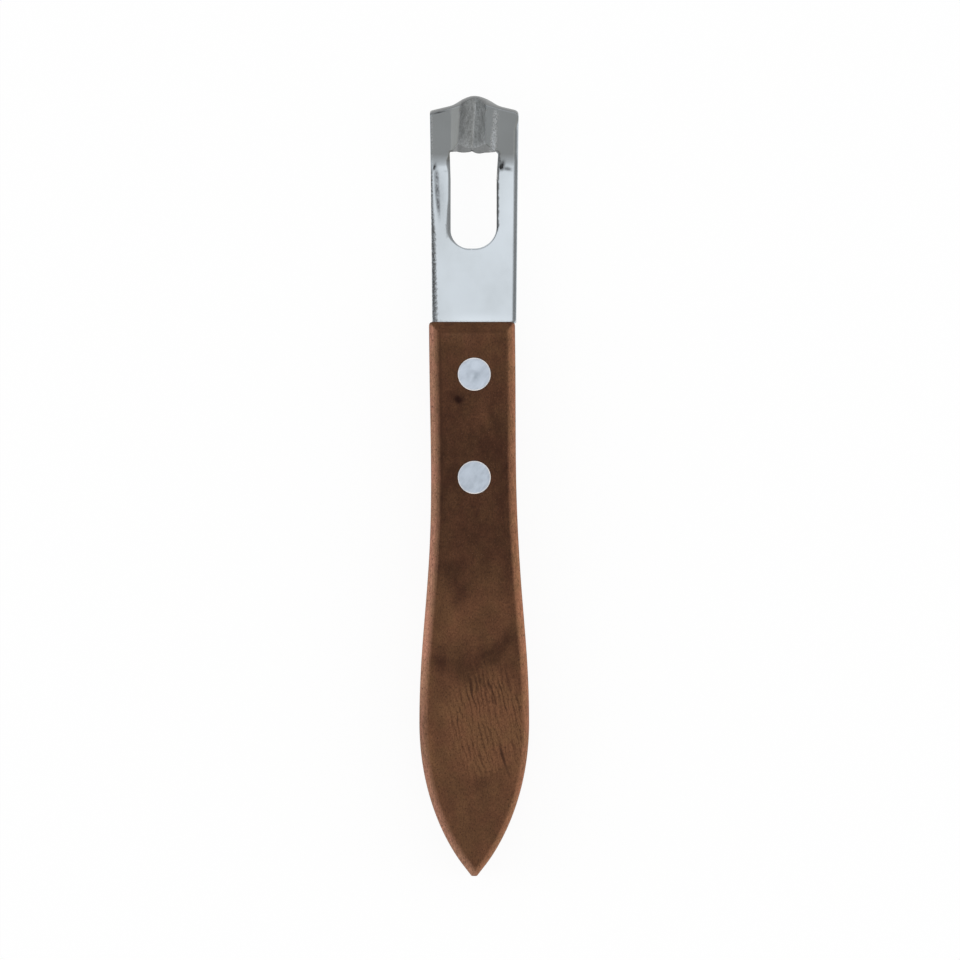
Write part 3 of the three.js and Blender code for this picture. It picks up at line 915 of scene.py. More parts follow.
def steel_finish(blade):
    """Satin sheet, smudged here and there, with rough sheared edges, ground faces that are darker partly as
    painted dark reflection, a mottled groove with painted shade towards its mouth, scuffs, painted
    highlights along the groove's bottom and the plate's left edge, and painted light beside the handle's
    end.
    """
    finish = Finish("satin_steel")
    smudge = finish.noise(*SMUDGES, detail=3.0)
    base = finish.mix(finish.between(smudge, *MEDIUM), blade.steel, blade.dull_steel)
    base = finish.scaled(base, finish.toned(1.0, finish.places, STEEL_AREAS))

    grit = finish.noise(*GRIT, detail=2.0, roughness=0.7)
    mottle = finish.noise(*DAPPLES, detail=3.0, roughness=0.75)
    sheared = finish.attribute("sheared")
    scuffed_and_highlit = finish.attribute("scuffed_and_highlit")
    pressed = finish.attribute("pressed")
    dappled = finish.scaled(blade.pressed_steel, finish.between(mottle, 0.32, 0.68, 0.78, 1.16))
    drawn = finish.noise(*DRAWN_LINES, detail=2.0)
    dappled = finish.scaled(dappled, finish.between(drawn, 0.32, 0.68, 0.88, 1.12))
    base = finish.mix(pressed, base, dappled)
    specks = finish.math("MULTIPLY", pressed, finish.between(grit, 0.69, 0.76, 0, 0.7))
    base = finish.mix(specks, base, blade.grime_and_shade)
    # Ground faces darker, partly as ground steel and partly as painted dark reflection.
    base = finish.mix(finish.attribute("ground_and_shaded"), base, blade.shaded_ground_steel)
    teeth = finish.math("MULTIPLY", sheared, finish.between(grit, 0.4, 0.56))
    base = finish.mix(teeth, base, blade.cut_steel)
    # Scuffs, and painted highlights along the groove's bottom and the plate's left edge.
    rubbed_and_lit = finish.math("MULTIPLY", scuffed_and_highlit, finish.between(grit, 0.42, 0.56, 0.1, 1.2))
    base = finish.mix(rubbed_and_lit, base, blade.scuff_and_highlight_steel)
    blots = finish.noise(*BLOTS, detail=2.0, roughness=0.6)
    blotchy = finish.between(blots, 0.34, 0.62, 0.66, 1.02)
    # Grime in the press marks, painted shade in the groove towards its mouth and beside the marks, and a
    # darker bevel beside the groove.
    darkening = finish.math("MULTIPLY", finish.attribute("grimed_and_shaded"), blotchy)
    base = finish.mix(darkening, base, blade.grime_and_shade)

    worn = finish.math("MAXIMUM", sheared, scuffed_and_highlit)
    uneven = finish.math("MAXIMUM", worn, finish.math("MULTIPLY", pressed, 0.35))
    satin = finish.noise(*SATIN)
    height = finish.math("MULTIPLY_ADD", finish.math("MULTIPLY", grit, uneven), 4, satin)
    polish = finish.between(smudge, *WIDE, 0.16, 0.21)
    polish = finish.math("MULTIPLY_ADD", uneven, 0.1, polish)
    polish = finish.math("MULTIPLY_ADD", pressed, 0.3, polish)
    finish.set(
        Base_Color=base,
        Metallic=1.0,
        Roughness=finish.math("MULTIPLY_ADD", rubbed_and_lit, 0.5, polish),
        Normal=finish.bump(height, 0.25, 0.02 * MM),
    )
    return finish.material


# Where the front rivet's face is smeared: middle and half size in millimetres, turn in degrees, strength.
RIVET_AREAS = (
    ((0.3, 20.9), (1.0, 1.5), -22, 0.75),
    ((-0.1, 21.8), (1.5, 0.8), -12, 0.5),
    ((-1.15, 21.2), (0.8, 1.4), 0, 0.4),
    ((0.45, 23.0), (1.5, 1.2), 0, -0.4),
    ((0.0, 21.6), (6.0, 6.0), 0, -0.3),
)
# Noises of the rivets: size of the lumps across and along, in millimetres, and how two of them are turned.
BLOTCHES = (1.5, 2.2, math.radians(-35))
SCRATCHES = (0.19, 2.4, math.radians(-40))
PATCHES = (1.7, 1.7)
# How the smears' places wander: size of the lumps across and along, and reach, in millimetres.
SMEAR_WANDER = (1, 1, 0.3)


def rivet_finish(rivets):
    """Pale soft metal, sanded flush, with a painted highlight along the heads' rims."""
    finish = Finish("sanded_rivet")
    blotch = finish.noise(*BLOTCHES, detail=2.0)
    scratches = finish.noise(*SCRATCHES)
    blotchy = finish.between(blotch, 0.35, 0.75, 0.2, 0.65)
    smear = finish.toned(blotchy, finish.wandering(*SMEAR_WANDER), RIVET_AREAS)
    base = finish.mix(smear, rivets.metal, rivets.smeared)
    patchy = finish.between(finish.noise(*PATCHES, detail=1.0), 0.36, 0.6, 0.5, 1.0)
    # Painted highlight along the rims.
    bright = finish.math("MULTIPLY", finish.attribute("rim_highlight"), patchy)
    base = finish.mix(bright, base, rivets.rim_highlight)
    height = finish.math("MULTIPLY_ADD", blotch, 4, scratches)
    finish.set(
        Base_Color=base,
        Metallic=1.0,
        Roughness=finish.between(scratches, *WIDE, 0.3, 0.42),
        Normal=finish.bump(height, 0.2, 0.03 * MM),
    )
    return finish.material


# Handle


# How far the outline's curves reach, as shares of the stretch that each curve spans.
NECK_REACH = 0.35
WAIST_REACH = 0.49
BELLY_TO_WAIST = 0.35
BELLY_TO_BUTT = 0.46
BUTT_REACH = 0.17
# Rounding of the blunt point's corners, and half of the stretch over which the neck's lean sets in.
BUTT_CORNER = 0.3 * MM
LEAN_BLEND = 5 * MM
# How finely the outline, its curves, the bores and the saw's arc are divided.
OUTLINE_STEP = 0.55 * MM
CURVE_STEPS = 40
BORE_STEPS = 72
SAW_STEPS = 13
# Rows of points along the outline, as shares of the arris and of the widest worked edge.
ARRIS_ROWS = (0.04, 0.14, 0.3, 0.55, 0.85)
EDGE_ROWS = (0.32, 0.45, 0.58, 0.68, 0.78, 0.88, 0.98, 1.08, 1.2, 1.35)
# Loose points of the faces: corners and step of their grid, and their least distance from the outline
# and the bores, as a share of the widest worked edge.
FACE_LOW = (-11 * MM, -80 * MM)
FACE_HIGH = (11 * MM, 35 * MM)
FACE_STEP = 1.6 * MM
FACE_ROOM = 1.4
# How often the edge's widths are blended round the outline, which softens their changes at its corners.
CORNER_BLENDS = 12
# How far the saw cut's tool reaches, as a share of the handle's half width.
KERF_REACH = 1.4
# How light the worked edges are, partly bare wood and partly painted side light and sheen, from the rim
# inwards: share of the edge's width, lightness.
LEFT_FADE = ((0, 1), (0.42, 1), (0.58, 0.66), (0.8, 0.4), (0.95, 0.16), (1.04, 0))
RIGHT_FADE = ((0, 1), (0.18, 1), (0.36, 0.8), (0.74, 0.64), (0.92, 0.36), (1.1, 0))
# How much of its width the lighter edge keeps at the butt, left and right.
BUTT_SHARE = (0.88, 0.74)
# Where the lighter edge gets narrower, towards the butt.
BUTT_FADE = (-65 * MM, -20 * MM)
# How much of that lightness the handle's sides lose.
SIDE_LOSS = 0.5
# Where the sides end, as shares of the handle's thickness from its middle.
SIDE_RIM = (0.3, 0.37)
# Faint lines along the worked edges: strength, then middle and breadth as shares of the edge's width.
END_LIGHT = 0.1
END_LIGHT_LINE = (1.25, 0.14)
LEFT_SEAM = 0.6
LEFT_SEAM_LINE = (1.14, 0.1)
END_SEAM = 0.3
END_SEAM_LINE = (0.95, 0.14)
# Where the dark line beside the left edge fades out, towards the butt.
SEAM_END = (-20 * MM, 5 * MM)


def handle_outline(handle):
    """The handle seen from the front, counter-clockwise from the right corner of its blade end."""
    neck = handle.neck_width / 2
    waist = handle.waist_width / 2
    belly = (HANDLE_HIGH.x - HANDLE_LOW.x) / 2
    half_angle = handle.butt_angle
    butt = HANDLE_LOW.y - NECK_Y
    point = butt - handle.butt_width / 2 / math.tan(half_angle)
    straight = handle.butt_room / math.tan(half_angle)

    def on_butt_side(distance):
        return (-distance * math.sin(half_angle), point + distance * math.cos(half_angle))

    to_waist = handle.waist_at - handle.neck_straight
    to_belly = handle.belly_at - handle.waist_at
    to_butt = -point - handle.belly_at
    curves = (
        (
            (-neck, -handle.neck_straight),
            (-neck, -handle.neck_straight - NECK_REACH * to_waist),
            (-waist, -handle.waist_at + NECK_REACH * to_waist),
            (-waist, -handle.waist_at),
        ),
        (
            (-waist, -handle.waist_at),
            (-waist, -handle.waist_at - WAIST_REACH * to_belly),
            (-belly, -handle.belly_at + BELLY_TO_WAIST * to_belly),
            (-belly, -handle.belly_at),
        ),
        (
            (-belly, -handle.belly_at),
            (-belly, -handle.belly_at - BELLY_TO_BUTT * to_butt),
            on_butt_side(straight + BUTT_REACH * to_butt),
            on_butt_side(straight),
        ),
    )
    side = np.concatenate([bezier(*curve, CURVE_STEPS) for curve in curves])
    left = [(-neck, 0, handle.neck_corner), *((x, y, 0) for x, y in side), (*on_butt_side(straight), 0)]
    left.append((-handle.butt_width / 2, butt, BUTT_CORNER))
    right = [(-x, y, radius) for x, y, radius in reversed(left)]
    rim = outline(left + right, OUTLINE_STEP)
    rim[:, 0] -= math.tan(handle.neck_lean) * hinge(rim[:, 1] + handle.lean_start, LEAN_BLEND)
    return rim + (0, NECK_Y)


def kerf_tool(handle):
    """The saw cut: open at the neck and on both sides, with the saw's arc at its end."""
    half = HANDLE_HIGH.x * KERF_REACH
    middle = NECK_Y - handle.kerf_length + math.sqrt(handle.saw_radius ** 2 - BLADE_HIGH.x ** 2)
    swing = math.asin(half / handle.saw_radius)
    turns = -math.pi / 2 + np.linspace(-swing, swing, SAW_STEPS)
    arc = np.stack([np.cos(turns), np.sin(turns)], 1) * handle.saw_radius + (0, middle)
    rim = np.concatenate([arc, [(half, NECK_Y + half), (-half, NECK_Y + half)]])
    count = len(rim)
    low, high = MIDDLE_Z - handle.kerf_gap / 2, MIDDLE_Z + handle.kerf_gap / 2
    vertices = [(*p, low) for p in rim] + [(*p, high) for p in rim]
    faces = [tuple(range(count))[::-1], tuple(range(count, 2 * count))]
    faces += [(i, (i + 1) % count, (i + 1) % count + count, i + count) for i in range(count)]
    return piece_of("kerf_tool", vertices, faces)


def rivet_centre(end):
    """Where a rivet's axis stands, from its pin's solid."""
    low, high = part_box(f"{end}_rivet_pin")
    return ((low.x + high.x) / 2, (low.y + high.y) / 2)


class KNIFE_OT_handle(bpy.types.Operator):
    """Carves the handle, saws its kerf and bores it for the rivets"""

    bl_idname = "knife.handle"
    bl_label = "Handle"

    def execute(self, context):
        handle = context.scene.knife_handle
        rim = handle_outline(handle)
        plan = self.plan(handle, rim)
        on_end = rim[:, 1] > NECK_Y - handle.neck_corner / 2
        on_left = rim[:, 0] < 0
        width = np.where(on_end, handle.neck_edge, np.where(on_left, handle.left_edge, handle.right_edge))
        width = softened(width, CORNER_BLENDS)
        crest = softened(np.where(on_left | on_end, handle.left_crest, handle.right_crest), CORNER_BLENDS)

        distance, place = nearest_on([rim], plan.points)
        drop = handle.edge_depth * hinge(1 - distance / round_loop(width, place), round_loop(crest, place))
        drop += round_over(distance, handle.arris)
        front = np.column_stack([plan.points, HANDLE_HIGH.z - drop])
        back = np.column_stack([plan.points, HANDLE_LOW.z + drop])
        piece = plate("handle", plan, front, back)
        cut(piece, kerf_tool(handle))
        self.rub_and_light(piece, rim, width, on_left, on_end)
        settle(piece, "wooden_handle", wood_finish(handle))
        return {"FINISHED"}

    def plan(self, handle, rim):
        """The handle's faces in triangles, with rows of points along their worked edges."""
        bores = [circle(rivet_centre(end), handle.bore / 2, BORE_STEPS) for end in RIVET_ENDS]
        loops = [rim, *bores]
        widest = max(handle.left_edge, handle.right_edge, handle.neck_edge)
        rows = [*(handle.arris * np.array(ARRIS_ROWS)), *(widest * np.array(EDGE_ROWS))]
        loose = grid(FACE_LOW, FACE_HIGH, FACE_STEP)
        clear = nearest_on(loops, loose)[0] > widest * FACE_ROOM
        return Plan(loops, [rows, [], []], loose[inside(loops, loose) & clear])

    def rub_and_light(self, piece, rim, width, on_left, on_end):
        """Tells the finish where the edges are lighter, partly bare wood and partly painted side light and
        sheen, where the sides are and where dark lines run.
        """
        places = vertices_of(piece)
        distance, place = nearest_on([rim], places[:, :2])
        share_in = distance / round_loop(width, place)
        leftness = round_loop(on_left.astype(float), place)
        at_end = round_loop(on_end.astype(float), place)
        to_butt = 1 - smooth_step(*BUTT_FADE, places[:, 1])
        left_share, right_share = (1 - (1 - kept) * to_butt for kept in BUTT_SHARE)
        left_bare_lit = np.interp(share_in / left_share, *np.transpose(LEFT_FADE))
        right_bare_lit = np.interp(share_in / right_share, *np.transpose(RIGHT_FADE))
        rubbed_and_lit = (left_bare_lit * leftness + right_bare_lit * (1 - leftness)) * (1 - at_end)
        from_middle = np.abs(places[:, 2] - MIDDLE_Z) / (HANDLE_HIGH.z - HANDLE_LOW.z)
        sided = 1 - smooth_step(*SIDE_RIM, from_middle)
        lighter = END_LIGHT * at_end * soft_line(share_in, *END_LIGHT_LINE)
        mark(piece, "rubbed_and_lit", rubbed_and_lit * (1 - SIDE_LOSS * sided) + lighter)
        mark(piece, "sided", sided)
        beside_left = smooth_step(*SEAM_END, places[:, 1]) * leftness * (1 - at_end)
        seamed = LEFT_SEAM * beside_left * soft_line(share_in, *LEFT_SEAM_LINE)
        seamed += END_SEAM * at_end * soft_line(share_in, *END_SEAM_LINE)
        mark(piece, "seamed", seamed)


# Blade


# Waves of the cutting edge: middle and breadth in millimetres.
RIGHT_DIP = (1.05, 1.3)
LEFT_DIP = (-2.15, 1.5)
EDGE_NOTCH = (-0.42, 0.35)
# How high that notch and the edge's level lie, as shares of the right dip's depth.
NOTCH_SHARE = 0.4
LEVEL_SHARE = 0.5
# Where the edge steps down on the right.
EDGE_SHELF = (1.5 * MM, 3 * MM)
# Where the groove gets crisper towards its mouth, as shares of its width, and how much softness it loses.
MOUTH_FADE = (0.5, 0.9)
MOUTH_CRISPNESS = 0.8
# How many places its softness is blended from, and how finely its walls and the swelling are divided.
CREASE_BLENDS = 9
WALL_STEPS = 60
# Breadth of the bevel's peak at the groove's mouth, in millimetres.
PEAK_BREADTH = 1
# Where the bevel runs out, as shares of the window's half width.
BEVEL_FADE = (0.9, 0.99)
# The tongue that is pressed and ground: share of the window's half width, and start before the bend.
TONGUE_SHARE = 0.999
TONGUE_START = 2 * MM
# Where the swelling sets in beside the tongue, past the bend.
BELL_RISE = (1 * MM, 4 * MM)
# Rows of points that keep lines crisp: their distances from a line and from the groove's bottom.
LINE_GAP = 0.04 * MM
CREASE_GAP = 0.1 * MM
# Places of the rows across the plate, as shares of the window's half width.
LINE_SHARES = np.arange(-0.97, 0.971, 0.04)
# The rows along the groove: their step, their start past the bend and their end before the point.
LINE_STEP = 0.16 * MM
LINE_START = 1.2 * MM
LINE_END = 0.5 * MM
# How often the bevel's end is worked out again, because it depends on its own place.
BEVEL_TRIES = 4


class Strip:
    """The pressed strip: turns a place on the flat blank into a place on the finished blade."""

    def __init__(self, blade):
        self.blade = blade
        self.half = blade.thickness / 2
        self.lean = blade.bend_angle
        self.plate_start = blade.bend_at + blade.bend_radius * self.lean
        self.half_window = blade.window_width / 2
        bend_end = blade.bend_at + blade.bend_radius * math.sin(self.lean)
        bell = (self.half + blade.bell_height) * math.sin(self.lean)
        on_plate = (BLADE_HIGH.y - NECK_Y - bend_end - bell) / math.cos(self.lean)
        self.crown = self.plate_start + on_plate + blade.end_reserve

    def projected(self, along):
        """Distance from the handle, seen from the front, of the middle of the sheet."""
        turn = np.clip((along - self.blade.bend_at) / self.blade.bend_radius, 0, self.lean)
        flat = np.minimum(along, self.blade.bend_at)
        plate_part = np.maximum(along - self.plate_start, 0) * math.cos(self.lean)
        return flat + self.blade.bend_radius * np.sin(turn) + plate_part

    def half_width(self, along):
        """Half of the strip's width, which grows towards the cutter."""
        flare = (self.blade.tip_width - self.blade.root_width) / 2 / (BLADE_HIGH.y - NECK_Y)
        return self.blade.root_width / 2 + flare * np.maximum(self.projected(along), 0)

    def line(self, along):
        """Where the groove's bottom line runs, which is a little askew."""
        on_plate = (along - self.plate_start) / (self.crown - self.plate_start)
        return self.blade.groove_start + self.blade.groove_skew * on_plate

    def from_groove(self, across, along):
        """Distance across from the groove's line."""
        return np.abs(across - self.line(along))

    def mouth(self, across, along):
        """Width of the groove from its line to its mouth, on the side where a place lies."""
        halfway = (self.plate_start + self.crown) / 2
        taper = self.blade.groove_taper * (along - halfway) / (self.crown - self.plate_start)
        right = self.blade.groove_right * (1 - taper)
        return np.where(across < self.line(along), self.blade.groove_left, right)

    def beside_groove(self, across, along):
        """Zero at the groove's mouth and one at the window's side."""
        mouth = self.mouth(across, along)
        room = self.half_window - mouth - self.line(along) * np.sign(across)
        return (self.from_groove(across, along) - mouth) / room

    def groove(self, across, along):
        """Depth of the groove in the front. Its bottom line is soft and its mouth is crisp."""
        share_across = self.from_groove(across, along) / self.mouth(across, along)
        reach = self.blade.crease * (1 - MOUTH_CRISPNESS * smooth_step(*MOUTH_FADE, share_across))
        shifts = np.linspace(-1, 1, CREASE_BLENDS)
        return np.mean([self.sharp_groove(across + shift * reach, along) for shift in shifts], 0)

    def sharp_groove(self, across, along):
        """Depth of the groove with sharp lines: its walls, and the slopes that lead into it."""
        blade = self.blade
        slope = blade.lead_in * np.clip(1 - self.beside_groove(across, along), 0, 1)
        t = np.linspace(0, 1, WALL_STEPS)
        wall_x = (1 - t) ** 2 + 2 * t * (1 - t) * blade.wall_across
        depth = blade.groove_depth - blade.lead_in
        wall_z = depth * (2 * t * (1 - t) * blade.wall_down + t * t)
        share_across = self.from_groove(across, along) / self.mouth(across, along)
        return slope + np.where(share_across < 1, np.interp(share_across, wall_x[::-1], wall_z[::-1]), 0)

    def bell(self, across, along):
        """Height of the swelling on the back, which lies under the groove."""
        t = np.linspace(0, 1, WALL_STEPS)
        flank = (1 - t) ** 3 + 3 * self.blade.bell_across * (1 - t) * t
        height = self.blade.bell_height * (3 * t * t - 2 * t ** 3)
        reach = np.where(across < self.line(along), self.blade.bell_left, self.blade.bell_right)
        return np.interp(self.from_groove(across, along) / reach, flank[::-1], height[::-1])

    def edge(self, across):
        """Where the cutting edge lies along the plate, so that it is seen in one wavy line."""
        blade = self.blade
        right = soft_line_mm(across, *RIGHT_DIP)
        left = blade.edge_step * soft_line_mm(across, *LEFT_DIP)
        shelf = blade.edge_step * smooth_step(*EDGE_SHELF, across)
        notch = NOTCH_SHARE * soft_line_mm(across, *EDGE_NOTCH)
        seen = blade.edge_past_bend + blade.edge_lobe * (LEVEL_SHARE - right - left - shelf + notch)
        cos, sin = math.cos(self.lean), math.sin(self.lean)
        start = self.plate_start
        slope = self.bevel_slope(across)
        at_back = (seen - (self.half + self.bell(across, start)) * sin) / cos
        over_edge = self.half - self.groove(across, start) - slope * (self.bevel_end(across, start) - start)
        at_front = (seen + over_edge * sin) / (cos - slope * sin)
        return start + np.maximum(at_back, at_front)

    def bevel_slope(self, across):
        """Steepness of the bevel, which runs out beside the window."""
        fade = 1 - smooth_step(*BEVEL_FADE, np.abs(across) / self.half_window)
        return math.tan(self.blade.bevel_angle) * fade

    def on_tongue(self, across, along):
        """True between the lines of the window's sides, from just before the bend on."""
        between_sides = np.abs(across) < self.half_window * TONGUE_SHARE
        return between_sides & (along > self.blade.bend_at - TONGUE_START)

    def heights(self, across, along):
        """Front and back of the sheet above its middle, with the groove, the bell and the ground bevel."""
        tongue = self.on_tongue(across, along)
        front = self.half - np.where(tongue, self.groove(across, along), 0)
        beside_tongue = smooth_step(*BELL_RISE, along - self.plate_start)
        back = -self.half - np.where(tongue, 1, beside_tongue) * self.bell(across, along)
        return front - self.bevel(across, along), back

    def bevel_end(self, across, along):
        """Where the bevel ends along the plate: highest at the groove's mouth and lowest at the window."""
        blade = self.blade
        past_mouth = self.from_groove(across, along) - self.mouth(across, along)
        outside = np.clip(self.beside_groove(across, along), 0, 1)
        peak = blade.bevel_peak * soft_line_mm(past_mouth, 0, PEAK_BREADTH)
        rise = blade.bevel_rise + peak
        rise += (blade.bevel_side - rise) * outside
        lift = (self.half - self.groove(across, along)) * math.sin(self.lean)
        return self.plate_start + (rise + lift) / math.cos(self.lean)

    def bevel(self, across, along):
        """How much the grinding takes off the front."""
        blade = self.blade
        thick = blade.thickness - self.groove(across, along) + self.bell(across, along)
        below_end = np.maximum(self.bevel_end(across, along) - along, 0)
        taken = np.minimum(self.bevel_slope(across) * below_end, thick - blade.land)
        return np.where(self.on_tongue(across, along), taken, 0)

    def lines(self):
        """Rows of points along the bevel's end and the groove's mouth and bottom, which keep them crisp."""
        across = LINE_SHARES * self.half_window
        along = np.full(len(across), self.plate_start + MM)
        for _ in range(BEVEL_TRIES):
            along = self.bevel_end(across, along)
        rows = [np.column_stack([across, along + gap]) for gap in (-LINE_GAP, LINE_GAP)]
        along = np.arange(self.plate_start + LINE_START, self.crown - LINE_END, LINE_STEP)
        line = self.line(along)
        left = line - self.mouth(line - LINE_GAP, along)
        right = line + self.mouth(line + LINE_GAP, along)
        bottom = (line - CREASE_GAP, line, line + CREASE_GAP)
        for row in (left - LINE_GAP, left + LINE_GAP, *bottom, right - LINE_GAP, right + LINE_GAP):
            rows.append(np.column_stack([row, along]))
        return rows

    def press(self, across, along, height):
        """Places in the knife's frame."""
        blade = self.blade
        tongue = self.on_tongue(across, along)
        turn = np.clip((along - blade.bend_at) / blade.bend_radius, 0, self.lean)
        turn = np.where(tongue, self.lean, turn)
        flat = np.where(tongue, 0, np.minimum(along - blade.bend_at, 0))
        on_plate = np.where(tongue, along - self.plate_start, np.maximum(along - self.plate_start, 0))
        y = blade.bend_at + flat + blade.bend_radius * np.sin(turn) + on_plate * math.cos(self.lean)
        z = blade.bend_radius * (1 - np.cos(turn)) + on_plate * math.sin(self.lean)
        y = NECK_Y + y - height * np.sin(turn)
        z = MIDDLE_Z + z + height * np.cos(turn)
        return np.column_stack([across, y, z])


# Marks that the press left: middle and half size (across, along) in millimetres, turn in degrees, depth in
# millimetres, darkness. The darkness is grime in the marks; the broad, shallow one at (-6.5, 25) paints
# shade beside them.
PRESS_MARKS = (
    ((-7.66, 29.9), (0.27, 0.7), -16, 0.08, 1.25),
    ((-5.5, 29.1), (0.5, 0.12), 0, 0.03, 0.3),
    ((-7.26, 27.9), (0.46, 1.9), 3, 0.05, 0.82),
    ((-7.13, 25.4), (0.42, 2.4), 4, 0.05, 0.86),
    ((-6.95, 22.8), (0.33, 2.3), 5, 0.05, 0.88),
    # Painted shade beside the dark marks on the left.
    ((-6.5, 25.0), (0.9, 4.2), 4, 0.02, 0.2),
    ((5.2, 29.9), (0.46, 0.5), 0, 0.12, 1.7),
    ((5.38, 30.4), (0.4, 0.8), -18, 0.08, 1.3),
    ((4.95, 30.9), (0.2, 0.9), 0, 0.05, 0.8),
    ((6.3, 29.55), (1.05, 0.32), -10, 0.05, 0.88),
    ((-6.75, 41.45), (1.15, 0.12), 14.4, 0.02, 1.3),
    ((-0.4, 31.95), (0.2, 0.32), 0, 0.0, 1.4),
)


def oval(across, along, middle, size, turn):
    """One in the middle of a soft oval, fading away from it."""
    x = across - middle[0] * MM
    y = along - middle[1] * MM
    cos, sin = math.cos(math.radians(turn)), math.sin(math.radians(turn))
    u = (x * cos + y * sin) / (size[0] * MM)
    v = (y * cos - x * sin) / (size[1] * MM)
    return np.exp(-u * u - v * v)


# How finely the blank's outline, the window, the cutting edge and the rivet holes are divided.
RIM_STEP = 0.4 * MM
WINDOW_STEP = 0.3 * MM
EDGE_POINTS = 41
HOLE_STEPS = 32
# How far from the window's sides the cutting edge's wavy line ends.
EDGE_ENDS = 1.3 * MM


def blank_loops(strip):
    """The outline of the flat blank, the window and the two rivet holes, as seen from the front."""
    blade = strip.blade
    root = blade.root_width / 2
    tang_end = BLADE_LOW.y - NECK_Y
    slope = blade.end_rise / (blade.tip_width / 2)
    point = strip.crown + blade.end_point * (math.hypot(1, slope) - 1)
    corner = point - blade.end_rise
    tip = float(strip.half_width(corner))
    rim = outline(
        [
            (root - blade.tang_inset, tang_end, blade.tang_corner),
            (root - blade.tang_inset, -blade.tang_inset, 0),
            (root, 0, 0),
            (tip, corner, blade.right_corner),
            (0, point, blade.end_point),
            (-tip, corner, blade.left_corner),
            (-root, 0, 0),
            (-root, tang_end, blade.tang_corner),
        ],
        RIM_STEP,
    )
    half = strip.half_window
    shift = blade.window_shift
    inner = half - EDGE_ENDS
    edge_line = [(x, float(strip.edge(x)), 0) for x in np.linspace(inner, -inner, EDGE_POINTS)]
    right_beside, left_beside = (float(strip.edge(x)) for x in (half, -half))
    window = outline(
        [
            (half + shift, blade.window_start, blade.right_round),
            (half + shift, blade.flare_at, 0),
            (half + shift + blade.right_flare, right_beside, blade.window_right_corner),
            *edge_line,
            (-half + shift - blade.left_flare, left_beside, blade.window_left_corner),
            (-half + shift, blade.flare_at, 0),
            (-half + shift, blade.window_start, blade.left_round),
        ],
        WINDOW_STEP,
    )[::-1]
    centres = [rivet_centre(end) for end in RIVET_ENDS]
    holes = [circle((x, y - NECK_Y), blade.hole / 2, HOLE_STEPS) for x, y in centres]
    return [rim, window, *holes]


# Width of the blade's worked left side: distance from the handle, width, both in millimetres.
LEFT_STRIP = ((4, 1.15), (10, 1.04), (17, 0.95), (19.2, 0.76), (21.5, 0.58), (24, 0.48), (27, 0.42))
# Width of the broken edge on the window's left side, in the same way.
LEFT_WALL = (
    (15.2, 0.3), (16.9, 0.74), (18.1, 0.92), (19.2, 0.88), (21.5, 0.75), (22.7, 0.64),
    (24, 0.5), (28.5, 0.48), (29.6, 0.6), (30.6, 0.85), (31.4, 0.8), (32.6, 0.25),
)
# Small waves in the width of the left side and of the burr on the window's right wall: millimetres for each
# radian, and height as a share of the width. The burr's first waves wander by so many radians.
LEFT_JAGS = ((0.19, 0.1), (0.11, 0.08))
BURR_LONG = (0.27, 0.16)
BURR_SHORT = (0.14, 0.12)
BURR_WANDER = (0.9, 1.6)
# Where the end's edge sets in before its corners, and where the right side's edge runs out before them.
END_BLEND = 0.4 * MM
RUN_OUT = (3.5 * MM, 0.5 * MM)
# How much of its width and depth the right side's edge loses there.
WIDTH_LOSS = 0.75
DEPTH_LOSS = 0.95
# Parts of the window, as shares of its half width: the cutting edge, the left wall and the right wall.
CUTTING_SHARE = 0.93
LEFT_SPAN = (-0.35, -0.97)
RIGHT_SPAN = (0.75, 0.97)
# Stretches over which the burr sets in, and over which the left side changes before the bend.
BURR_BLEND = 1.5 * MM
BEND_BLEND = 1 * MM
# Depth of the left side's edge as a share of its width, and what that share loses on the plate.
LEFT_SLOPE = 0.5
SLOPE_LOSS = 0.375
# Softness of the line between the sheet and the worked edges.
LEFT_SOFTNESS = 0.8
RIGHT_SOFTNESS = 0.5
WALL_SOFTNESS = 0.12
# Where the left side's roughness ends, and how rough the right side and the burr are.
ROUGH_END = (27.5 * MM, 31 * MM)
RIGHT_ROUGHNESS = 0.2
BURR_ROUGHNESS = 0.45
# How dark the window's walls are, partly as ground steel and partly as painted dark reflection: its round
# end, what is added on the left, and the burr, which gets paler.
ROUND_DARKNESS = 0.15
LEFT_DARKNESS = 0.53
BURR_DARKNESS = 0.65
BURR_PALING = 0.35
PALING_SPAN = (29 * MM, 31 * MM)


def by_place(along, table):
    """A width that is given at places along the blade."""
    places, widths = np.transpose(table) * MM
    return np.interp(along, places, widths)


def wave(along, size, phase=0.0):
    """A small wave along the blade, of a size (millimetres for each radian, height)."""
    radian, height = size
    return height * np.sin(along / (radian * MM) + phase)


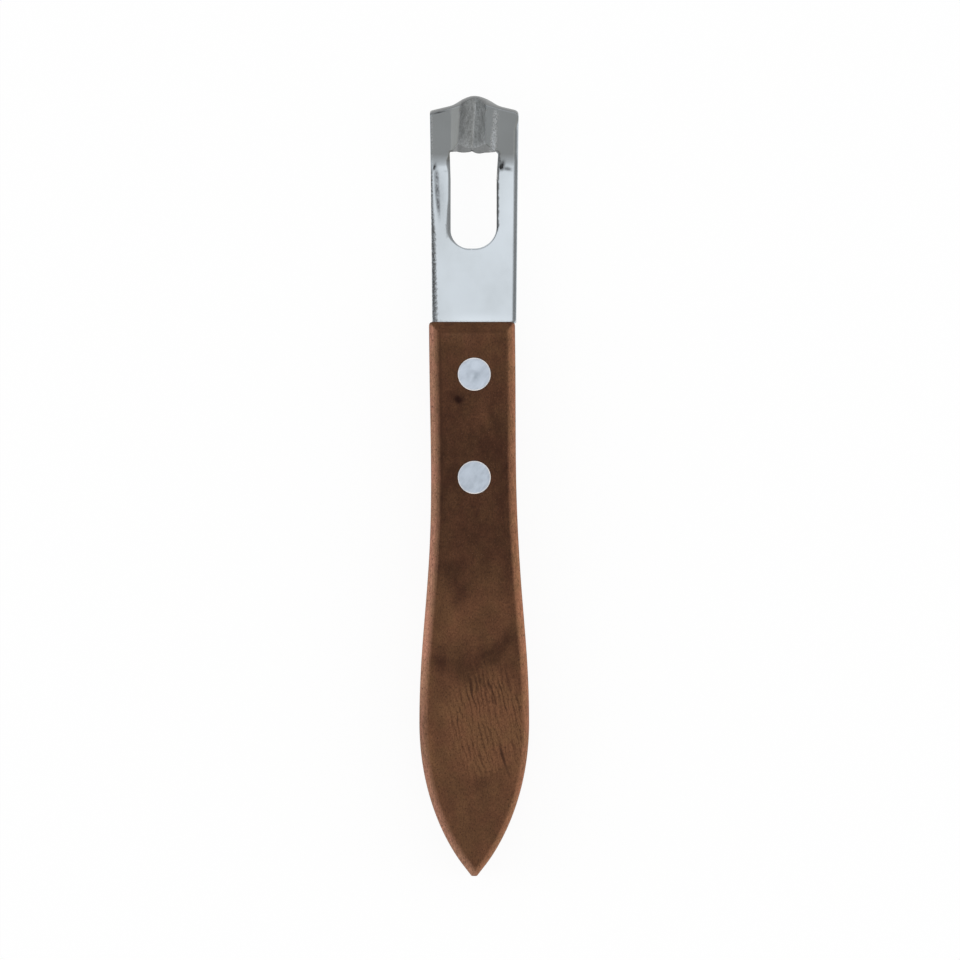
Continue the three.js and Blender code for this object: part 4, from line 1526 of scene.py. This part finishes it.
class WorkedEdges:
    """What is done to the blank's edges: how wide and deep each stretch is worked, and how it is left."""

    def __init__(self, strip, loops):
        blade = strip.blade
        across, along = np.concatenate(loops).T
        part = np.repeat(np.arange(len(loops)), [len(loop) for loop in loops])
        side = part == 0
        window = part == 1
        left = across < 0
        corner = strip.crown - blade.end_rise
        end = side * smooth_step(corner - END_BLEND, corner, along)
        across_window = (across - blade.window_shift) / strip.half_window
        cutting = window & (along > blade.bend_at) & (np.abs(across_window) < CUTTING_SHARE)
        on_plate = smooth_step(blade.bend_at - BEND_BLEND, strip.plate_start, along)

        jagged = 1 + sum(wave(along, size) for size in LEFT_JAGS)
        left_side = by_place(along, LEFT_STRIP) * jagged
        to_end = smooth_step(*RUN_OUT, corner - along)
        right_side = blade.right_strip * (1 - WIDTH_LOSS * to_end)
        side_width = np.where(left, left_side, right_side) * (1 - end) + blade.end_strip * end
        left_wall = smooth_step(*LEFT_SPAN, across_window)
        straight = blade.window_start + blade.right_round
        past_round = smooth_step(straight - BURR_BLEND, straight, along)
        right_wall = smooth_step(*RIGHT_SPAN, across_window) * past_round
        left_width = by_place(along, LEFT_WALL)
        wall = blade.round_wall + (left_width - blade.round_wall) * left_wall
        burr = 1 + wave(along, BURR_LONG, wave(along, BURR_WANDER)) + wave(along, BURR_SHORT)
        wall += (blade.window_wall * burr - blade.round_wall) * right_wall
        self.width = np.where(window, wall, side_width)

        left_depth = left_side * (LEFT_SLOPE - SLOPE_LOSS * on_plate)
        right_depth = blade.right_depth * (1 - DEPTH_LOSS * to_end)
        side_depth = np.where(left, left_depth, right_depth) * (1 - end) + blade.end_depth * end
        wall_depth = blade.wall_depth + (blade.wall_slope * left_width - blade.wall_depth) * left_wall
        self.depth = side * side_depth + window * wall_depth
        self.depth[cutting] = 0
        self.softness = np.where(left, LEFT_SOFTNESS, RIGHT_SOFTNESS)
        self.softness[~side] = WALL_SOFTNESS
        rough = np.where(left, 1 - smooth_step(*ROUGH_END, along), RIGHT_ROUGHNESS)
        right_dark = right_wall * (BURR_DARKNESS - BURR_PALING * smooth_step(*PALING_SPAN, along))
        self.sheared = side * (1 - end) * rough + BURR_ROUGHNESS * right_dark * window
        # The end and the window's walls take the darker ground colour, partly painted dark reflection.
        walls = ROUND_DARKNESS + LEFT_DARKNESS * left_wall + right_dark
        self.ground_and_shaded = np.maximum(end, window * np.where(cutting, 1.0, walls))
        self.lined = side * left * (1 - end) * on_plate
        self.broken = np.where(self.depth > 0, 1.0, 0.0) * (1 - window * left_wall)


# The sheet is nowhere thinner than this.
THINNEST = 0.05 * MM
# Rounding of the edges that are broken.
BROKEN_EDGE = 0.12 * MM
# Rows of points along the outline and the window.
RIM_ROWS = MM * np.array([0.03, 0.08, 0.16, 0.3, 0.5, 0.66, 0.78, 0.9, 1.0, 1.12, 1.25])
WINDOW_ROWS = MM * np.array([0.03, 0.08, 0.15, 0.25, 0.36, 0.48, 0.62])
# Loose points: where they get finer, and their steps before and after that place.
FINE_START = 19 * MM
FLAT_STEP = 1 * MM
FINE_STEP = 0.2 * MM
# Their least distances from the rows of points, the window and the outline.
LINE_ROOM = 0.09 * MM
WINDOW_ROOM = 0.14 * MM
RIM_ROOM = 1.05 * RIM_ROWS[-1]
# Where a worked edge's look ends, as shares of its width.
EDGE_LOOK = (0.7, 1.0)
# Where the slopes beside the groove set in, as shares of the way from its mouth to the window's side.
SLOPE_LOOK = (-0.1, 0.05)
# Where the groove's look ends, as shares of its width.
GROOVE_LOOK = (0.97, 1.03)
# How much of the bevel's upper end keeps the steel's colour, and how much of the darker ground colour,
# partly painted dark reflection, it takes in the groove.
BEVEL_TRIM = 0.03 * MM
GROOVE_BEVEL = 0.82
# Painted shade on the groove's left wall towards its mouth, what is added to it at the tip, and the painted
# shade on the right wall.
LEFT_GROOVE_SHADE = 0.2
TIP_GROOVE_SHADE = 0.16
RIGHT_GROOVE_SHADE = 0.04
# Where that addition starts, past the bend, and where the painted shade sets in, as shares of the groove's
# width.
TIP_START = 3 * MM
GROOVE_SHADE_SPAN = (0.45, 0.9)
# Darkening of the bevel beside the groove.
BEVEL_DARKENING = 0.28
# Bright lines: a scuff that the press rubbed beside the groove, a painted highlight along the groove's
# bottom and a painted highlight along the plate's left edge, each with strength, then middle and breadth in
# millimetres. The first two are measured from the groove's line to the right, and the third from the left
# side inwards.
SLOPE_RUB = 1.25
SLOPE_LINE = (3.98, 0.44)
CREASE_HIGHLIGHT = 0.55
CREASE_LINE = (0.08, 0.09)
EDGE_HIGHLIGHT = 0.3
RIM_LINE = (0.33, 0.17)
# Where the first of them gets weaker, past the bend, by how much, and where it ends before the point.
RUB_SPAN = (2.5 * MM, 6 * MM)
RUB_LOSS = 0.55
RUB_END = (1.7 * MM, 1.1 * MM)


class KNIFE_OT_blade(bpy.types.Operator):
    """Cuts the steel blank, works its edges, presses its bend and groove and grinds the cutting edge"""

    bl_idname = "knife.blade"
    bl_label = "Blade"

    def execute(self, context):
        blade = context.scene.knife_blade
        strip = Strip(blade)
        loops = blank_loops(strip)
        plan = self.blank(strip, loops)
        edges = WorkedEdges(strip, loops)
        worked = plan.distance / plan.from_edge(edges.width)
        front, back = self.faces(strip, plan, edges, worked)
        piece = plate("blade", plan, front, back)
        self.leave_marks(piece, strip, plan, edges, worked)
        settle(piece, "channel_blade", steel_finish(blade))
        return {"FINISHED"}

    def blank(self, strip, loops):
        """The flat blank in triangles, finer where it is pressed and marked."""
        half = BLADE_HIGH.x
        pressed = grid((-half, FINE_START), (half, strip.crown), FINE_STEP)
        flat = grid((-half, BLADE_LOW.y - NECK_Y), (half, FINE_START - FINE_STEP), FLAT_STEP)
        loose = np.concatenate([pressed, flat])
        lines = np.concatenate(strip.lines())
        loose = np.concatenate([loose[clear_of(loose, lines, LINE_ROOM)], lines])
        from_rim = nearest_on(loops[:1], loose)[0] > RIM_ROOM
        from_holes = nearest_on(loops[1:], loose)[0] > WINDOW_ROOM
        loose = loose[inside(loops, loose) & from_rim & from_holes]
        return Plan(loops, [RIM_ROWS, WINDOW_ROWS, [], []], loose)

    def faces(self, strip, plan, edges, worked):
        """Front and back of the pressed blade, with its worked edges and the marks that the press left."""
        across, along = plan.points.T
        softness = plan.from_edge(edges.softness)
        drop = plan.from_edge(edges.depth) * hinge(1 - worked * (1 + softness), softness)
        drop += plan.from_edge(edges.broken) * round_over(plan.distance, BROKEN_EDGE)
        top, bottom = strip.heights(across, along)
        for middle, size, turn, deep, _ in PRESS_MARKS:
            top = top - oval(across, along, middle, size, turn) * deep * MM
        top = np.maximum(top - drop, bottom + THINNEST)
        bottom = np.minimum(bottom + drop, top - THINNEST)
        return strip.press(across, along, top), strip.press(across, along, bottom)

    def leave_marks(self, piece, strip, plan, edges, worked):
        """Tells the finish where the steel is sheared, where it is ground and darker partly as painted dark
        reflection, where it is pressed, where it is scuffed bright and where painted highlights run, and
        where grime and painted shade darken it.
        """
        across, along = plan.points.T
        in_edge = 1 - smooth_step(*EDGE_LOOK, worked)
        sheared = in_edge * plan.from_edge(edges.sheared)
        ground_and_shaded = in_edge * plan.from_edge(edges.ground_and_shaded)
        tongue = strip.on_tongue(across, along)
        beside = smooth_step(*SLOPE_LOOK, strip.beside_groove(across, along))
        on_bevel = tongue * (strip.bevel(across, along + BEVEL_TRIM) > 0)
        bevelled = (GROOVE_BEVEL + (1 - GROOVE_BEVEL) * beside) * on_bevel
        in_groove = strip.from_groove(across, along) / strip.mouth(across, along)
        pressed = tongue * (1 - smooth_step(*GROOVE_LOOK, in_groove))
        beside_line = across - strip.line(along)

        # Painted shade in the groove towards its mouth, then the darker bevel, then the press marks' grime
        # and painted shade.
        to_tip = smooth_step(strip.plate_start + TIP_START, strip.crown, along)
        darkening = np.where(beside_line < 0, LEFT_GROOVE_SHADE + TIP_GROOVE_SHADE * to_tip, RIGHT_GROOVE_SHADE)
        grimed_and_shaded = darkening * pressed * smooth_step(*GROOVE_SHADE_SPAN, in_groove)
        grimed_and_shaded = np.maximum(grimed_and_shaded, BEVEL_DARKENING * beside * on_bevel)
        for middle, size, turn, _, dark in PRESS_MARKS:
            grimed_and_shaded = np.maximum(grimed_and_shaded, oval(across, along, middle, size, turn) * dark)

        past_bend = along - strip.plate_start
        rubbing = (past_bend > 0) * (1 - RUB_LOSS * smooth_step(*RUB_SPAN, past_bend))
        rubbing *= 1 - smooth_step(*RUB_END, strip.crown - along)
        # A scuff beside the groove; painted highlights along the groove's bottom and the plate's left edge.
        scuffed_and_highlit = SLOPE_RUB * rubbing * soft_line_mm(beside_line, *SLOPE_LINE)
        scuffed_and_highlit += CREASE_HIGHLIGHT * pressed * soft_line_mm(beside_line, *CREASE_LINE)
        scuffed_and_highlit += EDGE_HIGHLIGHT * plan.from_edge(edges.lined) * soft_line_mm(plan.distance, *RIM_LINE)

        none = np.zeros(len(across))
        mark(piece, "sheared", np.concatenate([sheared, sheared]))
        mark(piece, "ground_and_shaded", np.concatenate([np.maximum(ground_and_shaded, bevelled), ground_and_shaded]))
        mark(piece, "pressed", np.concatenate([pressed, none]))
        mark(piece, "scuffed_and_highlit", np.concatenate([scuffed_and_highlit, none]))
        mark(piece, "grimed_and_shaded", np.concatenate([grimed_and_shaded, none]))


# Rivets


# How finely a head's rim is divided, and the rows of points on its face, as shares of its radius.
HEAD_STEPS = 6
HEAD_ROWS = (0.5, 0.944, 0.958)
# Where the painted rim highlight starts, as shares of the head's radius.
HIGHLIGHT_SPAN = (0.945, 0.957)
# How strong the painted rim highlight is all round, and what is added towards the lower right.
HIGHLIGHT_ALL_ROUND = 0.8
HIGHLIGHT_LEAN = 0.2


class KNIFE_OT_rivets(bpy.types.Operator):
    """Turns the pin half and the tube half of both rivets"""

    bl_idname = "knife.rivets"
    bl_label = "Rivets"

    def execute(self, context):
        rivets = context.scene.knife_rivets
        material = rivet_finish(rivets)
        for end in RIVET_ENDS:
            self.pin_half(rivets, end, material)
            self.tube_half(rivets, end, material)
        return {"FINISHED"}

    def rim(self, radius, rim):
        """The rounded rim of a head, from its side to its face, as (radius, distance below the face)."""
        turns = np.linspace(0, math.pi / 2, HEAD_STEPS)
        return [(radius - rim * (1 - math.cos(a)), rim * (1 - math.sin(a))) for a in turns]

    def pin_half(self, rivets, end, material):
        """The half with the pin, whose head is seen on the front."""
        low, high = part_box(f"{end}_rivet_pin")
        radius = (high.x - low.x) / 2
        under = high.z - rivets.head_height
        profile = [(0, low.z), (rivets.pin / 2, low.z), (rivets.pin / 2, under), (radius, under)]
        profile += [(r, high.z - below) for r, below in self.rim(radius, rivets.rim)]
        profile += [(radius * row, high.z) for row in reversed(HEAD_ROWS)] + [(0, high.z)]
        piece = lathe(f"{end}_rivet_pin_half", profile, rivet_centre(end))
        self.dress(piece, f"{end}_rivet_pin", radius, material)

    def tube_half(self, rivets, end, material):
        """The half with the tube, whose head is seen on the back."""
        low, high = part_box(f"{end}_rivet_tube")
        radius = (high.x - low.x) / 2
        over = low.z + rivets.head_height
        rim = [(r, low.z + below) for r, below in self.rim(radius, rivets.rim)]
        face = [(radius * row, low.z) for row in HEAD_ROWS]
        profile = [(0, low.z), *face, *reversed(rim), (radius, over)]
        profile += [(rivets.tube / 2, over), (rivets.tube / 2, high.z), (rivets.tube_bore / 2, high.z)]
        profile += [(rivets.tube_bore / 2, over), (0, over)]
        piece = lathe(f"{end}_rivet_tube_half", profile, rivet_centre(end))
        self.dress(piece, f"{end}_rivet_tube", radius, material)

    def dress(self, piece, node, radius, material):
        """Paints a highlight along the rim and rides the piece on the knife."""
        places = vertices_of(piece)[:, :2]
        offset = (places - places.mean(0)) / radius
        reach = np.linalg.norm(offset, axis=1)
        to_lower_right = (offset[:, 0] - offset[:, 1]) / math.sqrt(2)
        rim_highlight = smooth_step(*HIGHLIGHT_SPAN, reach) * (HIGHLIGHT_ALL_ROUND + HIGHLIGHT_LEAN * to_lower_right)
        mark(piece, "rim_highlight", rim_highlight)
        settle(piece, node, material)


# Stage


def lamp(name, watts, size, place, aim, mirrored=True):
    """A rectangular lamp that looks at a place."""
    light = bpy.data.lights.new(name, "AREA")
    light.energy = watts
    light.shape = "RECTANGLE"
    light.size, light.size_y = size
    made = bpy.data.objects.new(name, light)
    made.location = place
    made.rotation_euler = (Vector(aim) - Vector(place)).to_track_quat("-Z", "Y").to_euler()
    made.visible_glossy = mirrored
    bpy.context.scene.collection.objects.link(made)


def upright(start, end, foot, top):
    """Corners of an upright card between two places on the floor plan."""
    return [(*start, foot), (*end, foot), (*end, top), (*start, top)]


def card(name, corners, tone, fade=None):
    """A grey card that only the metal's reflections see. It may fade to the sky's white upwards."""
    finish = Finish(name)
    if fade:
        start, end, sky, exponent = fade
        height = finish.node("ShaderNodeSeparateXYZ", {0: finish.places}).outputs["Z"]
        rise = finish.math("POWER", finish.between(height, start, end, smooth=False), exponent)
        tone = finish.mix(rise, tone, (sky, sky, sky))
    finish.surface(finish.node("ShaderNodeEmission", {"Color": tone}).outputs[0])
    made = piece_of(name, corners, [(0, 1, 2, 3)])
    made.data.materials.append(finish.material)
    made.visible_camera = False
    made.visible_diffuse = False
    made.visible_shadow = False
    made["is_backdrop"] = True


def floor_material(stage):
    """White paper that shows mostly its own white to the camera and to reflections. The rest is lit."""
    finish = Finish("white_floor")
    finish.set(Base_Color=stage.floor_colour, Roughness=0.9, Specular_IOR_Level=0.0)
    rays = finish.node("ShaderNodeLightPath").outputs
    mirrored = finish.math("MAXIMUM", rays["Is Glossy Ray"], rays["Is Transmission Ray"])
    seen = finish.math("MAXIMUM", rays["Is Camera Ray"], mirrored)
    glow = finish.node("ShaderNodeEmission").outputs[0]
    lit = finish.shader.outputs[0]
    glowing = finish.math("MULTIPLY", seen, stage.floor_glow)
    finish.surface(finish.node("ShaderNodeMixShader", {0: glowing, 1: lit, 2: glow}).outputs[0])
    return finish.material


class KNIFE_OT_stage(bpy.types.Operator):
    """Sets the floor, the soft light and the camera straight above the knife"""

    bl_idname = "knife.stage"
    bl_label = "Stage"

    def execute(self, context):
        scene = context.scene
        stage = scene.knife_stage
        half = stage.floor_size / 2
        low = HANDLE_LOW.z - stage.floor_gap
        corners = [(-half, -half, low), (half, -half, low), (half, half, low), (-half, half, low)]
        floor = piece_of("floor", corners, [(0, 1, 2, 3)])
        floor.data.materials.append(floor_material(stage))
        floor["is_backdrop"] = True

        world = bpy.data.worlds.new("studio")
        world.use_nodes = True
        world.node_tree.nodes["Background"].inputs["Color"].default_value = (1, 1, 1, 1)
        world.node_tree.nodes["Background"].inputs["Strength"].default_value = stage.sky
        scene.world = world
        top = (stage.top_size, stage.top_size)
        lamp("top_light", stage.top_light, top, (0, 0, stage.top_height), (0, 0, 0))
        for name, side in (("left_light", -1), ("right_light", 1)):
            size = (stage.side_light_width, stage.side_light_length)
            place = (side * stage.side_light_x, 0, stage.side_light_height)
            lamp(name, stage.side_light, size, place, (0, 0, 0), mirrored=False)
        self.cards(stage)
        scene.view_settings.view_transform = "Standard"

        camera = bpy.data.cameras.new("camera")
        camera.lens = camera.sensor_width * stage.camera_distance / stage.view_width
        camera.clip_end = stage.camera_reach
        above = bpy.data.objects.new("camera", camera)
        above.location = (stage.view_x, stage.view_y, stage.view_height + stage.camera_distance)
        scene.collection.objects.link(above)
        scene.camera = above
        return {"FINISHED"}

    def cards(self, stage):
        """Grey cards in front of the knife and on both sides, for the metal to mirror."""
        reach, y = stage.front_card_x, -stage.front_card_y
        fade = (stage.fade_start, stage.fade_end, stage.sky, stage.fade_power)
        for name, left, right, tone in (
            ("front_card", -reach, stage.corner_x, stage.front_card),
            ("corner_card", stage.corner_x, reach, stage.corner_card),
        ):
            corners = upright((left, y), (right, y), stage.front_card_foot, stage.front_card_top)
            card(name, corners, tone, fade)
        start, end = -stage.side_card_start, stage.side_card_end
        fade = (stage.side_fade_start, stage.side_card_top, stage.sky, stage.side_fade_power)
        for name, x, tone, side_fade in (
            ("left_card", -stage.side_card_x, stage.left_card, fade),
            ("right_card", stage.side_card_x, stage.right_card, None),
        ):
            corners = upright((x, start), (x, end), stage.side_card_foot, stage.side_card_top)
            card(name, corners, tone, side_fade)


# Panel and registration


class KNIFE_PT_panel(bpy.types.Panel):
    """Lists what the channel knife is made of"""

    bl_label = "Channel Knife"
    bl_idname = "KNIFE_PT_panel"
    bl_space_type = "VIEW_3D"
    bl_region_type = "UI"
    bl_category = "Channel Knife"

    def draw(self, context):
        for operator in OPERATORS:
            self.layout.operator(operator.bl_idname)


SETTINGS = {
    "knife_handle": HandleSettings,
    "knife_blade": BladeSettings,
    "knife_rivets": RivetSettings,
    "knife_stage": StageSettings,
}
OPERATORS = (KNIFE_OT_stage, KNIFE_OT_handle, KNIFE_OT_blade, KNIFE_OT_rivets)


def register():
    for made in (*SETTINGS.values(), *OPERATORS, KNIFE_PT_panel):
        bpy.utils.register_class(made)
    for name, group in SETTINGS.items():
        setattr(bpy.types.Scene, name, PointerProperty(type=group))


def unregister():
    for name in SETTINGS:
        delattr(bpy.types.Scene, name)
    for made in (KNIFE_PT_panel, *reversed(OPERATORS), *SETTINGS.values()):
        bpy.utils.unregister_class(made)


def main():
    register()
    bpy.ops.knife.stage()
    bpy.ops.knife.handle()
    bpy.ops.knife.blade()
    bpy.ops.knife.rivets()
    boxes = {"cad": CAD_BOX, "visual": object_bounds()}
    {name: [list(corner) for corner in box] for name, box in boxes.items()}


if __name__ == "__main__":
    main()
